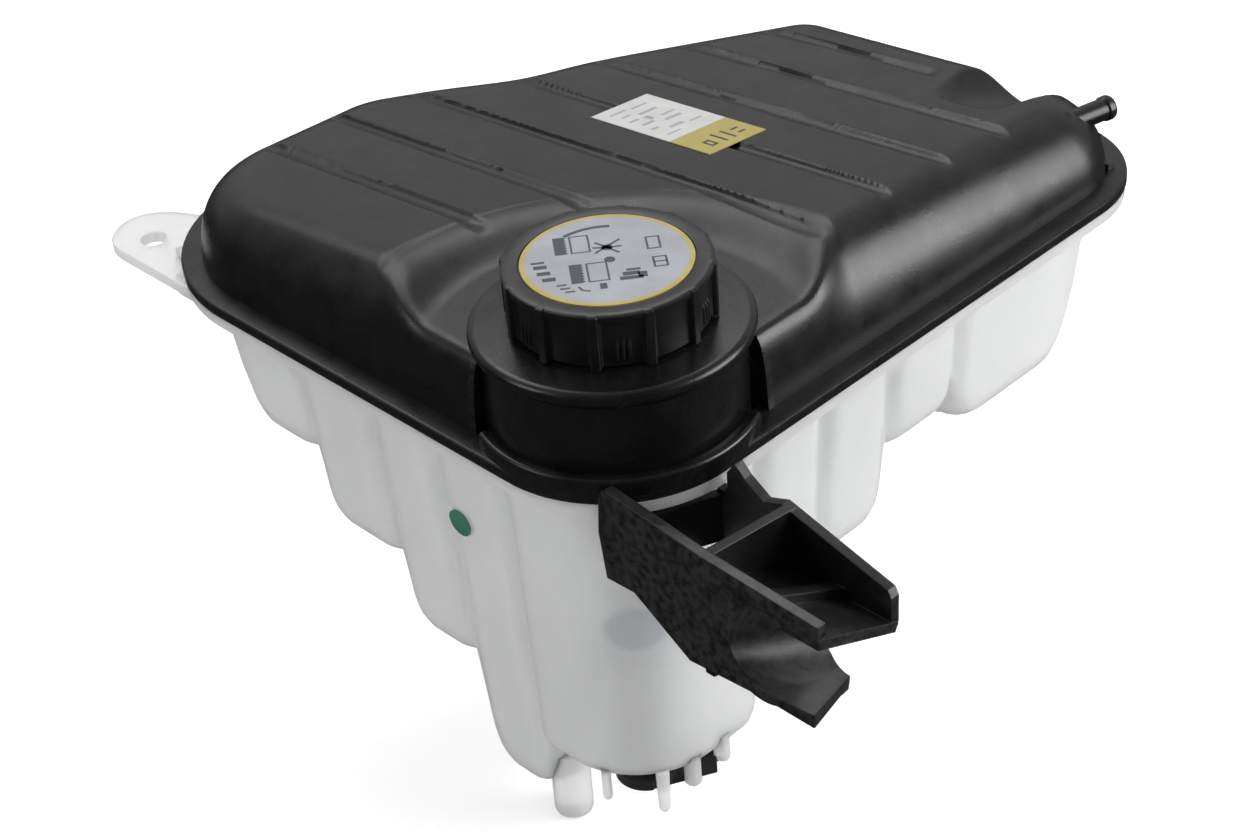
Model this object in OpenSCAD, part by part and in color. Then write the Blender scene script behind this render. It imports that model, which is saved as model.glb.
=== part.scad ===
// Coolant expansion tank: two moulded shells, pressure cap, level sensor and cradle bracket.
// Lengths are in millimetres. The frame's origin is the bolt hole of the fixing ear.

/* [Tank body] */
// Length of the tank along X, at the parting line
tank_len = 265; // [220:1:300]
// Width of the tank along Y on its long side
tank_wid = 245; // [210:1:280]
// Corner radius at the filler neck
corner_r = 43; // [43:0.5:44]
// Height of the upper shell above the parting line, over the neck side
top_h = 37.5; // [34:0.5:44]
// Fall of the top face per mm along X
fall_x = 0.075; // [0.05:0.005:0.1]
// Fall of the top face per mm along Y
fall_y = 0.088; // [0.05:0.004:0.1]
// Wall of the upper shell
top_wall = 3; // [2.5:0.1:3.5]
// Wall of the lower shell
low_wall = 2.6; // [2.4:0.1:2.8]
// Thickness of the upper flange
flange_up = 4; // [3:0.2:6]
// Thickness of the lower flange
flange_low = 4; // [3:0.2:5]
// Width of the open flange around the dome
ledge = 7; // [6:0.5:9]

/* [Lower shell] */
// Depth of the chamber under the neck
neck_depth = 116; // [105:1:120]
// Depth of the deep left chamber
deep_depth = 146; // [136:1:150]
// Depth of the right end chamber
right_depth = 61; // [52:1:70]
// Draft of the chamber walls, mm per mm
draft = 0.07; // [0.04:0.005:0.09]
// Foot boss radius
foot_r = 6.4; // [5.5:0.1:7.5]
// Foot boss length below the deep chamber
foot_len = 10; // [8:0.5:13]

/* [Filler neck] */
// Radius of the barrel under the neck
barrel_r = 38.5; // [38:0.1:39.4]
// Radius of the collar under the cap
collar_r = 41.4; // [41:0.1:43]
// Height of the collar's top face
collar_z = 36.2; // [35.4:0.2:36.6]
// Outer radius of the neck tube
neck_r = 25.4; // [24.6:0.1:25.6]
// Bore radius of the neck tube
neck_bore = 21; // [20.5:0.1:22]
// Height of the neck tube's rim
neck_top = 46.5; // [45.8:0.1:46.7]

/* [Pressure cap] */
// Grip radius
grip_r = 31; // [30:0.2:33]
// Height of the cap's top face
cap_top = 54.4; // [54:0.1:56]
// Height of the cap's lower edge
cap_low = 37; // [36.8:0.1:38]
// Label radius
label_r = 24.7; // [24:0.1:25.4]
// Radial play of the valve carrier in the neck bore
core_play = 0.06; // [0.03:0.01:0.09]
// Radial play of the grip on the carrier hub
hub_play = 0.05; // [0.03:0.01:0.09]
// Hub radius of the valve carrier
hub_r = 8; // [7.5:0.1:8.4]
// Bore radius inside the valve carrier
core_bore = 16; // [15.6:0.1:16.4]

/* [Level sensor] */
// Tower radius where the float slides
tower_r = 5.5; // [5.3:0.1:5.9]
// Bore radius for the sensor stem
sensor_bore = 4.2; // [3.9:0.1:4.3]
// Float radius
float_r = 10; // [9.5:0.1:11]
// Float height
float_h = 7; // [6:0.5:8]
// Float travel up the tower
float_travel = 12; // [10:0.5:13]

/* [Mounts] */
// Bolt hole radius of the fixing ear
ear_hole = 4.25; // [3.2:0.05:4.6]
// Thickness of the fixing ear
ear_t = 4; // [3.6:0.2:5]
// Outer radius of the vent nipple
vent_r = 3.75; // [3.6:0.05:4]
// Bore radius of the vent nipple
vent_bore = 2.3; // [2:0.1:2.6]
// Outer radius of the lower outlet
outlet_r = 9.5; // [9:0.1:10]
// Bore radius of the lower outlet
outlet_bore = 7.3; // [6.8:0.1:7.5]

/* [Cradle bracket] */
// Plate thickness
plate_t = 3.2; // [2.8:0.1:3.8]
// Overall width along X
cradle_w = 37; // [35:0.5:39]
// Hose saddle radius
saddle_r = 12.3; // [11.5:0.1:12.8]
// Slope of the tray floor in degrees
tray_slope = 27; // [24:0.5:29]

/* [Hidden] */
$fn = 96;
nc = [43, 43];
ear_c = [20, 245];
ear_low = -8;
sensor_c = [30, 29];
scoop_in = 60;
scoop_out = 76;
scoop_z = 29;
mid = [125, 112];
arc_n = 7;
corners = [
    [0, 0, corner_r],
    [tank_len, 7.3, 40],
    [tank_len - 1, 165, 25],
    [105, tank_wid, 40],
    [0, tank_wid - 10, 60]
];
sides = len(corners);
edge_n = [11, 8, 12, 4, 9];
tower_top = -47;
float_z = tower_top - 2.9 - float_h - float_travel;
tower_base = -neck_depth;
core_low = 30;
foot_c = [28, 64];
cradle_x = 8;

// ---- helpers ----

module place() {
    translate([-ear_c.x, -ear_c.y, -ear_low]) children();
}

module at_neck(z) {
    translate([nc.x, nc.y, z]) children();
}

module at_sensor(z) {
    translate([sensor_c.x, sensor_c.y, z]) children();
}

function flat(l) = [for (a = l) for (b = a) b];
function unit2(v) = v / norm(v);
function clamp01(t) = max(0, min(1, t));
function smooth(t) = clamp01(t) * clamp01(t) * (3 - 2 * clamp01(t));
function corner(i) = corners[(i + sides) % sides];
function pt(i) = [corner(i).x, corner(i).y];
function dir_back(i) = unit2(pt(i - 1) - pt(i));
function dir_next(i) = unit2(pt(i + 1) - pt(i));
function half(i) = acos(dir_back(i) * dir_next(i)) / 2;
function mid_dir(i) = unit2(dir_back(i) + dir_next(i));
function arc_c(i) = pt(i) + mid_dir(i) * corner(i)[2] / sin(half(i));
function arc_a(i) = atan2(-mid_dir(i).y, -mid_dir(i).x);
function arc_p(i, k, d) =
    let (a = arc_a(i) + (k / arc_n * 2 - 1) * (90 - half(i)), r = max(corner(i)[2] - d, 1))
    arc_c(i) + r * [cos(a), sin(a)];
function back_dip(p) = p.y < 150 ? 0 : 5 * exp(-pow((p.x - 148) / 20, 2));
function edge_p(i, j, d) =
    let (a = arc_p(i, arc_n, d), b = arc_p(i + 1, 0, d), p = a + (b - a) * j / edge_n[i])
    p - [0, back_dip(p)];
function ring(d) = flat([for (i = [0:sides - 1]) concat(
    [for (k = [0:arc_n]) arc_p(i, k, d)],
    [for (j = [1:edge_n[i] - 1]) edge_p(i, j, d)])]);

function top_z(p) = top_h - fall_x * (p.x - 115) - fall_y * (p.y - 32);
function scoop(p) = smooth((norm(p - nc) - scoop_in) / (scoop_out - scoop_in));
function side_w(q) = 20 + 8 * clamp01((70 - q.y) / 40) * clamp01((q.x - 60) / 40);
function crown(p) = top_z(p);
function rise(e, p) = pow(1 - pow(1 - clamp01(e), 2.4), 0.5);
function dome_z(p, d, q) =
    flange_up + (crown(p) - flange_up) * rise((d - ledge) / (13 + (side_w(q) - 13) * scoop(p)), p);
function lift(d, cut, w) =
    let (r = ring(d + w), q = ring(0))
    [for (i = [0:len(r) - 1]) [r[i].x, r[i].y, dome_z(r[i], d, q[i]) - cut]];
function shrink(s, cut, w) =
    let (r = ring(26 + w), q = ring(0))
    [for (i = [0:len(r) - 1])
        let (p = mid + (r[i] - mid) * s, d = 26 + (1 - s) * norm(r[i] - mid))
        [p.x, p.y, dome_z(p, d, q[i]) - cut]];
function level(d, z) = [for (p = ring(d)) [p.x, p.y, z]];

// Skin over a list of rings, bottom ring first, closed by a fan at each end.
module loft(rings, low, high) {
    n = len(rings[0]);
    m = len(rings);
    pts = concat(flat(rings), [low, high]);
    sides = [for (j = [0:m - 2]) for (i = [0:n - 1]) for (t = [0:1])
        let (a = j * n + i, b = j * n + (i + 1) % n)
        t == 0 ? [a, a + n, b + n] : [a, b + n, b]];
    base = [for (i = [0:n - 1]) [m * n, i, (i + 1) % n]];
    roof = [for (i = [0:n - 1]) [m * n + 1, (m - 1) * n + (i + 1) % n, (m - 1) * n + i]];
    polyhedron(concat(pts), concat(sides, base, roof), convexity = 8);
}

// Depth of the chamber wall along the left side (y) and along the front side (x).
function step_in(t) = pow(1 - pow(1 - clamp01(t), 2.4), 0.5);
function left_depth(y) =
    y > 190 ? 10 :
    y > 157 ? 10 + 41 * step_in((190 - y) / 13) :
    y > 121.5 ? 51 + 26 * step_in((157 - y) / 13) :
    y > 91.5 ? 77 + 26 * step_in((121.5 - y) / 13) :
    y > 74 ? 103 + (deep_depth - 103) * step_in((91.5 - y) / 13) :
    neck_depth + (deep_depth - neck_depth) * step_in((y - 60) / 13);
function front_depth(x) =
    x > 226 ? 10 :
    x > 163 ? min(10 + (right_depth - 10) * step_in((226 - x) / 15),
        42 + (right_depth - 42) * step_in((x - 163) / 20)) :
    x > 130 ? 42 + 7 * step_in((163 - x) / 12) :
    x > 98 ? 48 + 26 * step_in((130 - x) / 13) :
    x > 68 ? 74 + 18 * step_in((98 - x) / 10) :
    92 + (neck_depth - 92) * step_in((68 - x) / 10);
function wall_depth(p) =
    (p.y - 12) > (p.x - 12) ? (p.x < 60 ? left_depth(p.y) : 10) : (p.y < 60 ? front_depth(p.x) : 10);
function valley(t, l) = max([for (v = l) 4 * exp(-pow((t - v) / 4, 2))]);
function flute(p) =
    p.x < 20 && p.y > 50 ? valley(p.y, [60, 91.5, 121.5, 157]) :
    p.y < 20 && p.x > 50 ? valley(p.x, [68, 98, 130, 163]) : 0;
function span_n(i) = [38, 3, 5, 2, 31][i];
function span_p(i, j, d) =
    let (a = arc_p(i, arc_n, d), b = arc_p(i + 1, 0, d), p = a + (b - a) * j / span_n(i))
    p - [0, back_dip(p)];
function wide(d) = flat([for (i = [0:sides - 1]) concat(
    [for (k = [0:arc_n]) arc_p(i, k, d)],
    [for (j = [1:span_n(i) - 1]) span_p(i, j, d)])]);
function slope(p) = draft * (p.x < 66 && p.y < 58 ? 0.5 : 1);
// Ring of the lower body: t runs 0 to 1 down the wall, and a rounds the foot of the wall
// from 90 to 0 degrees.
function wall_ring(t, a) =
    let (base = wide(ledge + 0.5), out = wide(0), far = wide(10))
    [for (i = [0:len(base) - 1])
        let (p = base[i], n = (far[i] - out[i]) / 10, dp = wall_depth(p),
            r = min(p.x < 66 && p.y < 58 ? 8 : 11, dp * 0.45),
            z = -(dp - r) * t - r * sin(90 - a) * (t == 1 ? 1 : 0),
            s = flute(p) * (1 - 0.3 * t) - slope(p) * z + (t == 1 ? r * (1 - cos(90 - a)) : 0),
            q = p + n * s)
        [q.x, q.y, min(z, -2)]];
function floor_ring(s, mix) =
    [for (b = wall_ring(1, 0))
        let (p = mid + ([b.x, b.y] - mid) * s)
        [p.x, p.y, b.z + (-38 - b.z) * mix]];
body_rings = concat(
    [floor_ring(0.2, 1), floor_ring(0.4, 1), floor_ring(0.5, 1), floor_ring(0.62, 0.4), floor_ring(0.72, 0)],
    [for (a = [0, 25, 50, 90]) wall_ring(1, a)],
    [wall_ring(0.5, 90), wall_ring(0.02, 90)]);

module body_outer() {
    loft(body_rings, [mid.x, mid.y, -38], [mid.x, mid.y, -2]);
}

// Inside of one chamber on the left side or on the front side; it narrows towards the middle.
module left_pocket(x0, ya, yb, deep) {
    k = (mid.x - 46) / (mid.x - 17);
    translate([0, 0, low_wall - deep]) linear_extrude(deep - low_wall - 3) polygon([
        [x0 + low_wall, ya], [46, mid.y + (ya - mid.y) * k],
        [46, mid.y + (yb - mid.y) * k], [x0 + low_wall, yb]
    ]);
}

module front_pocket(y0, xa, xb, deep) {
    k = (mid.y - 42) / (mid.y - 17);
    translate([0, 0, low_wall - deep]) linear_extrude(deep - low_wall - 3) polygon([
        [xa, y0 + low_wall], [xb, y0 + low_wall],
        [mid.x + (xb - mid.x) * k, 42], [mid.x + (xa - mid.x) * k, 42]
    ]);
}

module hall(s, low, high) {
    translate([0, 0, low]) linear_extrude(high - low)
        polygon([for (p = ring(ledge)) mid + (p - mid) * s]);
}

module body_inner() {
    translate([0, 0, -8.1 + low_wall]) outline(ledge + 6.5, 7);
    hall(0.73, low_wall - 11.4, -4.6);
    hall(0.64, low_wall - 14.2, -4.5);
    hall(0.585, low_wall - 21.6, -4.4);
    hall(0.47, low_wall - 37.6, -4);
    translate([0, 0, low_wall - 36.6]) linear_extrude(31) polygon([
        [16, 43], [24, 24], [43, 16], [68, 20], [130, 20], [216, 23], [174, 66], [150, 112],
        [76, 142], [16, 181]
    ]);
    left_pocket(14, 161.5, 179.5, 49);
    left_pocket(15.4, 126, 149, 74);
    left_pocket(18, 96, 114, 100);
    left_pocket(20.6, 69, 80, deep_depth - 6);
    front_pocket(19.4, 72, 88, 85);
    front_pocket(18.6, 102.5, 122, 71.5);
    front_pocket(18.4, 134, 158, 45.5);
    front_pocket(20.6, 176, 216, right_depth - 6);
    intersection() {
        union() {
            at_neck(low_wall - neck_depth + 1.6) cylinder(r = 27.2, h = neck_depth - 6);
            at_neck(-88) cylinder(r = 29.4, h = 84);
        }
        translate([5, 5, -neck_depth]) cube([40, 39.5, neck_depth - 3.5]);
    }
}

module outline(d, h) {
    linear_extrude(h) polygon(ring(d));
}

// ---- upper shell ----

module dome_outer() {
    loft(concat(
        [level(0.8, 0), level(0, 0.8), level(0, flange_up - 1), level(1, flange_up)],
        [for (d = [ledge, ledge + 0.6, 9, 11.5, 15, 20, 26]) lift(d, 0, 0)],
        [for (s = [0.88, 0.7, 0.35]) shrink(s, 0, 0)]),
        [mid.x, mid.y, 0], [mid.x, mid.y, crown(mid)]);
}

module dome_inner() {
    loft(concat(
        [level(ledge + top_wall, -1)],
        [for (d = [ledge + 0.8, 12, 18, 26]) lift(d, top_wall + 0.5, top_wall)],
        [for (s = [0.82, 0.4]) shrink(s, top_wall + 0.5, top_wall)]),
        [mid.x, mid.y, -1], [mid.x, mid.y, crown(mid) - top_wall - 0.5]);
}

// Scoop around the filler neck, turned about the neck's axis.
module scoop_cut(gap) {
    at_neck(0) rotate_extrude() polygon(concat(
        [[0, scoop_z - gap]],
        [for (k = [0:8]) let (t = k / 8)
            [scoop_in + (scoop_out - scoop_in) * t + gap,
             scoop_z - gap + (40 - scoop_z) * smooth(t)]],
        [[scoop_out + 6 + gap, 48 - gap], [scoop_out + 6 + gap, 60], [0, 60]]));
}

// Hollow in the right end of the dome beside the vent nipple.
module dent_cut(gap) {
    translate([212, 59, 47]) rotate([0, 90 + 21, 0]) cylinder(r = 20 + gap, h = 70);
}

module corner_cut(gap, low) {
    difference() {
        translate([-5, -5, low]) cube([75 + gap, 70 + gap, 60]);
        at_neck(low - 1) cylinder(r = barrel_r - 1 - gap, h = 62);
    }
}

module groove(x, y0, y1) {
    a = atan(fall_y);
    translate([x, y0, top_z([x, y0]) + 2.9])
        rotate([-90 - a, 0, 0]) cylinder(r = 4, h = (y1 - y0) / cos(a), $fn = 24);
}

module neck_body() {
    at_neck(0) rotate_extrude() polygon([
        [neck_bore, 19], [24.5, 19], [24.5, 31.4], [barrel_r - 3, 28], [barrel_r - 3, 1.5],
        [barrel_r, 1.5], [barrel_r, 30.5], [collar_r - 1, 32], [collar_r, 33.2],
        [collar_r, collar_z - 1], [collar_r - 1, collar_z], [neck_r, collar_z],
        [neck_r, neck_top - 1], [neck_r - 1, neck_top], [neck_bore + 0.8, neck_top],
        [neck_bore, neck_top - 0.8]
    ]);
    for (z = [39.6, 42.8]) at_neck(z) rotate_extrude()
        polygon([[neck_r - 0.5, -0.9], [neck_r + 1, -0.4], [neck_r + 1, 0.4], [neck_r - 0.5, 0.9]]);
}

module corner_wall() {
    at_neck(flange_up - 1.3) rotate([0, 0, 160]) rotate_extrude(angle = 130)
        polygon([[barrel_r - 1, 0], [corner_r - 0.2, 0], [corner_r - 0.2, 5.4],
            [corner_r - 0.9, 6], [corner_r - 2.6, 6], [barrel_r - 1, 5]]);
}

module vent_nipple() {
    translate([232, 30, 21]) rotate([0, 0, -11]) rotate([0, 90, 0]) {
        translate([0, 0, 2]) cylinder(r = vent_r, h = 18);
        translate([0, 0, 19]) cylinder(r = vent_r + 0.5, h = 3);
        translate([0, 0, -6]) cylinder(r = vent_r + 1.9, h = 9);
    }
    translate([240, 22, 3]) cube([4, 9, 13]);
}

module vent_hole() {
    translate([232, 30, 21]) rotate([0, 0, -11]) rotate([0, 90, 0])
        translate([0, 0, -14]) cylinder(r = vent_bore, h = 40);
}

module dome_shell() {
    difference() {
        dome_outer();
        scoop_cut(0);
        dent_cut(0);
        corner_cut(0, flange_up - 0.2);
        groove(55, 108, 236);
        groove(85, 92, 236);
        groove(115, 20, 232);
        groove(146, 20, 212);
        groove(175, 20, 200);
        groove(204, 20, 188);
        groove(232, 78, 176);
        difference() {
            dome_inner();
            scoop_cut(top_wall);
            dent_cut(top_wall);
            corner_cut(top_wall, -2);
            at_neck(-3) cylinder(r = barrel_r + 0.4, h = 60);
        }
        at_neck(-3) cylinder(r = barrel_r - 1.5, h = 60);
    }
}

module upper_shell() {
    color("#1c1c1e") place() difference() {
        union() {
            dome_shell();
            neck_body();
            corner_wall();
            vent_nipple();
        }
        translate([66, 52, -1.5]) cube([14, 34, 23]);
        vent_hole();
    }
}

// ---- lower shell ----

module ear() {
    translate([0, 0, ear_low]) difference() {
        linear_extrude(ear_t) polygon([
            [11, 196], [8, 202], [8, 250], [10, 256], [15, 261], [22, 263.4], [29, 261.5],
            [35, 256], [40, 246], [52, 226], [40, 200]
        ]);
        translate([ear_c.x, ear_c.y, -1]) cylinder(r = ear_hole, h = ear_t + 2);
    }
    translate([18, 205, ear_low + 1]) cube([24, 24, 7]);
    translate([12, 200, ear_low - 5]) cube([2.4, 22, 6]);
}

module outlet_tube() {
    translate([38, 80, -126]) rotate([0, 90, 0]) {
        cylinder(r = outlet_r, h = 60);
        translate([0, 0, 55.5]) cylinder(r = outlet_r + 0.6, h = 2.5);
    }
}

module sensor_tower() {
    at_sensor(tower_base) {
        cylinder(r = 8, h = float_z - tower_base - 0.1);
        cylinder(r = tower_r, h = tower_top - tower_base);
        translate([0, 0, -1.5]) cylinder(r = 9.5, h = 4);
    }
}

module pegs() {
    translate([16, 32.5, -124]) cylinder(r = 1.5, h = 14);
    translate([26.5, 18.3, -127.5]) cylinder(r1 = 1.7, r2 = 2.2, h = 16);
    translate([36.8, 15.6, -121.5]) cylinder(r = 2.7, h = 12);
    translate([48.6, 14.4, -118.5]) cylinder(r = 2.6, h = 10);
}

module stakes() {
    for (x = [17, 33]) translate([x, 26, -27]) rotate([90, 0, 0]) cylinder(r = 2.5, h = 30);
}

module lower_shell() {
    color([0.93, 0.94, 0.93, 0.75]) place() difference() {
        union() {
            translate([0, 0, -flange_low]) outline(0.4, flange_low);
            body_outer();
            ear();
            translate([foot_c.x, foot_c.y, -deep_depth - foot_len]) {
                cylinder(r = foot_r, h = foot_len - 1);
                translate([0, 0, foot_len - 2]) cylinder(r = foot_r + 0.4, h = 8);
            }
            pegs();
            outlet_tube();
            difference() {
                stakes();
                at_neck(-40) cylinder(r = 33, h = 30);
            }
        }
        difference() {
            body_inner();
            sensor_tower();
        }
        translate([34, 80, -126]) rotate([0, 90, 0]) cylinder(r = outlet_bore, h = 70);
        at_sensor(tower_base - 4) cylinder(r = sensor_bore, h = tower_top - tower_base + 2);
        at_sensor(tower_base - 4) cylinder(r = 5.8, h = 5.5);
    }
}

// ---- marks ----

module top_sticker() {
    color("#f3f3ef") place()
        translate([148, 121, top_z([148, 121])])
            rotate([-atan(fall_y), atan(fall_x), 0])
                translate([-13, -27.5, 0.05]) cube([26, 55, 0.3]);
}

module paint_mark() {
    color("#2d6e4e") place() translate([9.76, 82, -38]) rotate([0, 86, 0])
        translate([0, 0, -0.2]) cylinder(r = 4.6, h = 0.5);
}

// ---- cradle bracket ----

module plate_side() {
    translate([cradle_x + plate_t, 0, 0]) rotate([90, 0, -90]) linear_extrude(plate_t) polygon([
        [-16.6, -8], [-15.5, 3.7], [-14.6, 6.8], [-12.9, 8.2], [23.7, 3.9], [65.5, 1.7], [65.6, -2.4],
        [41, -3], [36, -7], [63.4, -25.7], [60, -32.1], [48.1, -33.4], [17.1, -35.9],
        [-3.7, -22.8], [-14.6, -23.2]
    ]);
}

module wall_side() {
    translate([cradle_x + cradle_w, 0, 0]) rotate([90, 0, -90]) linear_extrude(plate_t) polygon([
        [-3, -30], [-3, -5], [1, -3], [1.2, 2.3], [4.3, 6.5], [8, 3], [15, -1.5], [22.1, 1.1],
        [60.1, -9.3], [61.3, -11.8], [61.2, -20.9], [23, -46], [4, -34]
    ]);
}

module saddle_axis(r, h, y0, z0) {
    translate([cradle_x, y0, z0]) rotate([0, 90 + tray_slope, 0])
        translate([0, 0, -6]) cylinder(r = r, h = h);
}

module saddle_mouth() {
    translate([cradle_x, -44.5, -17]) rotate([0, 90 + tray_slope, 0]) rotate([0, 0, -4])
        translate([1, -45, -6]) cube([saddle_r - 1, 45, 56]);
}

module tray_floor() {
    translate([cradle_x, -65.6, -2.4]) rotate([0, tray_slope, 0])
        translate([0, 0, -plate_t]) linear_extrude(plate_t)
            polygon([[0, 0], [cradle_w / cos(tray_slope), 4.4], [cradle_w / cos(tray_slope), 43], [0, 43]]);
}

module saddle_arm() {
    difference() {
        union() {
            saddle_axis(saddle_r + 3.6, 52, -44.5, -17);
            translate([cradle_x, -63, -17]) rotate([0, tray_slope, 0])
                translate([0, 0, -15]) cube([42, 20, 4.4]);
        }
        saddle_axis(saddle_r, 56, -44.5, -17);
        translate([cradle_x, -90, -17]) rotate([0, tray_slope, 0])
            translate([-30, 0, -11]) cube([80, 45, 60]);
        translate([cradle_x, -63.4, -80]) rotate([0, 0, 28]) translate([-20, -60, 0]) cube([90, 60, 90]);
    }
}

module back_walls() {
    translate([cradle_x + 1.5, 14.2, -22.7]) rotate([0, 0, -22]) cube([cradle_w, plate_t, 16]);
    difference() {
        translate([cradle_x + 1, -25.4, -44]) cube([cradle_w - 2, plate_t, 48]);
        translate([cradle_x - 5, -30, -36.4]) rotate([0, 14, 0])
            translate([-5, -1, -30]) cube([60, 12, 30]);
        translate([cradle_x - 2, -30, 4]) rotate([0, 5, 0]) cube([60, 12, 10]);
    }
}

module cradle_bracket() {
    color("#232325") place() difference() {
        union() {
            plate_side();
            wall_side();
            intersection() {
                union() {
                    back_walls();
                    tray_floor();
                    saddle_arm();
                }
                translate([cradle_x + 0.2, -90, -60]) cube([cradle_w - 0.4, 110, 80]);
            }
        }
        saddle_axis(saddle_r, 56, -44.5, -17);
        saddle_mouth();
        for (x = [17, 33]) translate([x, 20, -27]) rotate([90, 0, 0]) cylinder(r = 2.5, h = 30);
        at_neck(-60) cylinder(r = 35.9, h = 59);
        at_neck(-5) cylinder(r = corner_r + 0.3, h = 30);
    }
}

// ---- pressure cap ----

module cap_grip() {
    z = cap_top;
    color("#1d1d1f") place() union() {
        at_neck(0) rotate_extrude() polygon([
            [27.4, cap_low], [29, cap_low], [29, 50.4], [grip_r - 0.4, 51.6], [grip_r - 0.4, z - 1.8],
            [29, z - 0.3], [label_r + 0.3, z], [label_r + 0.3, z - 0.6], [0, z - 0.6],
            [0, 51.8], [hub_r + 2.6, 51.8], [hub_r + 2.6, 50.4], [hub_r + hub_play, 50.4],
            [hub_r + hub_play, 49.5], [hub_r + 5, 49.5], [hub_r + 5, 51.8], [27.4, 51.8]
        ]);
        for (a = [0:30:330]) at_neck(cap_low + 0.4) rotate([0, 0, a + 8])
            translate([28.2, -1.3, 0]) cube([grip_r - 28.2, 2.6, z - cap_low - 2.6]);
    }
}

module cap_label() {
    color("#d9d8de") place() at_neck(cap_top - 0.6) cylinder(r = label_r, h = 0.7);
}

module cap_clip() {
    color("#a8abb0") place() at_neck(50.5) difference() {
        cylinder(r = hub_r + 2.2, h = 0.7);
        translate([0, 0, -1]) cylinder(r = hub_r, h = 3);
    }
}

module cap_core() {
    r = neck_bore - core_play;
    color("#2b2c30") place() at_neck(0) rotate_extrude() polygon([
        [9, core_low], [r - 1, core_low], [r, core_low + 1], [r, 33.6], [r - 1.8, 33.6], [r - 1.8, 36.4],
        [r, 36.4], [r, 40], [r - 1.8, 40], [r - 1.8, 42.8], [r, 42.8], [r, neck_top + 0.1],
        [24.6, neck_top + 0.1], [24.6, 48.9], [hub_r, 48.9], [hub_r, 51.3], [0, 51.3], [0, 45],
        [core_bore, 45], [core_bore, core_low + 2], [9, core_low + 2]
    ]);
}

module core_ring() {
    color("#b9bcc2") place() at_neck(44.2) difference() {
        cylinder(r = core_bore, h = 0.8);
        translate([0, 0, -1]) cylinder(r = 11, h = 3);
    }
}

module core_washer() {
    color("#e6e3d8") place() at_neck(48.9) difference() {
        cylinder(r = hub_r + 4.6, h = 0.4);
        translate([0, 0, -1]) cylinder(r = hub_r + 0.4, h = 3);
    }
}

module o_ring(z) {
    place() at_neck(z) rotate_extrude() translate([neck_bore - core_play - 0.9, 0]) circle(r = 0.9, $fn = 24);
}

module seal_upper() {
    color("#0e0e0e") o_ring(41.4);
}

module seal_lower() {
    color("#0e0e0e") o_ring(35);
}

module pressure_plate() {
    color("#b5854a") place() at_neck(33) rotate_extrude() polygon([
        [2.55, 0], [core_bore - 0.07, 0], [core_bore - 0.07, 2.6], [14.6, 2.6], [14.6, 1.6],
        [5, 1.6], [5, 2.4], [2.55, 2.4]
    ]);
}

module pressure_seal() {
    color("#151515") place() at_neck(32) difference() {
        cylinder(r = 13, h = 1);
        translate([0, 0, -1]) cylinder(r = 9.4, h = 3);
    }
}

module pressure_spring() {
    color("#9da0a5") place() at_neck(34.7) rotate_extrude() polygon(concat(
        [for (k = [0:24]) [13.6 + 0.55 * cos(k * 75), k * 9.5 / 24]],
        [for (k = [24:-1:0]) [12.6 + 0.55 * cos(k * 75), k * 9.5 / 24]]));
}

module vacuum_valve() {
    color("#c8c9cc") place() at_neck(0) rotate_extrude() polygon([
        [0, 31.4], [6.4, 31.4], [6.4, 33], [2.5, 33], [2.5, 40.4], [0, 40.4]
    ]);
}

module vacuum_keeper() {
    color("#c8c9cc") place() at_neck(39) difference() {
        cylinder(r = 4.2, h = 0.9);
        translate([0, 0, -1]) cylinder(r = 2.5, h = 3);
    }
}

module vacuum_spring() {
    color("#9da0a5") place() at_neck(35.4) rotate_extrude() polygon(concat(
        [for (k = [0:16]) [3.7 + 0.2 * cos(k * 90), k * 3.6 / 16]],
        [for (k = [16:-1:0]) [3.1 + 0.2 * cos(k * 90), k * 3.6 / 16]]));
}

// ---- level sensor ----

module level_float() {
    color("#7f8894") place() at_sensor(float_z) difference() {
        cylinder(r = float_r, h = float_h);
        translate([0, 0, -1]) cylinder(r = tower_r + 0.08, h = float_h + 2);
        translate([0, 0, -1]) difference() {
            cylinder(r = 8.6, h = 4);
            translate([0, 0, -1]) cylinder(r = 6.7, h = 6);
        }
    }
}

module float_magnet() {
    color("#3b3d42") place() at_sensor(float_z) difference() {
        cylinder(r = 8.6, h = 3);
        translate([0, 0, -1]) cylinder(r = 6.7, h = 5);
    }
}

module float_stop() {
    color("#e8e8e4") place() at_sensor(tower_top - 2.6) difference() {
        cylinder(r = tower_r + 2, h = 1.6);
        translate([0, 0, -1]) cylinder(r = tower_r, h = 4);
    }
}

module sensor_housing() {
    color("#161617") place() at_sensor(0) rotate([0, 0, -27]) difference() {
        union() {
            translate([0, 0, -neck_depth - 3.6]) cylinder(r = 10, h = 3.6);
            translate([0, -6.4, -neck_depth - 6.6]) cube([25.4, 12.8, 6.4]);
        }
        translate([12, -4.6, -neck_depth - 5.6]) cube([15, 9.2, 4.4]);
        translate([0, 0, -neck_depth - 8.4]) cylinder(r = 2, h = 3);
        rotate([0, 0, 27]) for (p = [[-3.5, -10.7], [18.6, -14.6]])
            translate([p.x, p.y, -neck_depth - 10]) cylinder(r = 3, h = 12);
    }
}

module sensor_stem() {
    color("#2a2b2e") place() at_sensor(-neck_depth)
        cylinder(r = sensor_bore - 0.1, h = tower_top + neck_depth - 3);
}

module sensor_seal() {
    color("#8a3a22") place() at_sensor(-neck_depth) difference() {
        cylinder(r = 5.8, h = 1.4);
        translate([0, 0, -1]) cylinder(r = sensor_bore - 0.1, h = 4);
    }
}

module sensor_terminals() {
    color("#c9a24b") place() at_sensor(0) rotate([0, 0, -27]) for (y = [-2.2, 2.2])
        translate([12, y - 0.5, -neck_depth - 3.9]) cube([8, 1, 1]);
}

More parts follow.
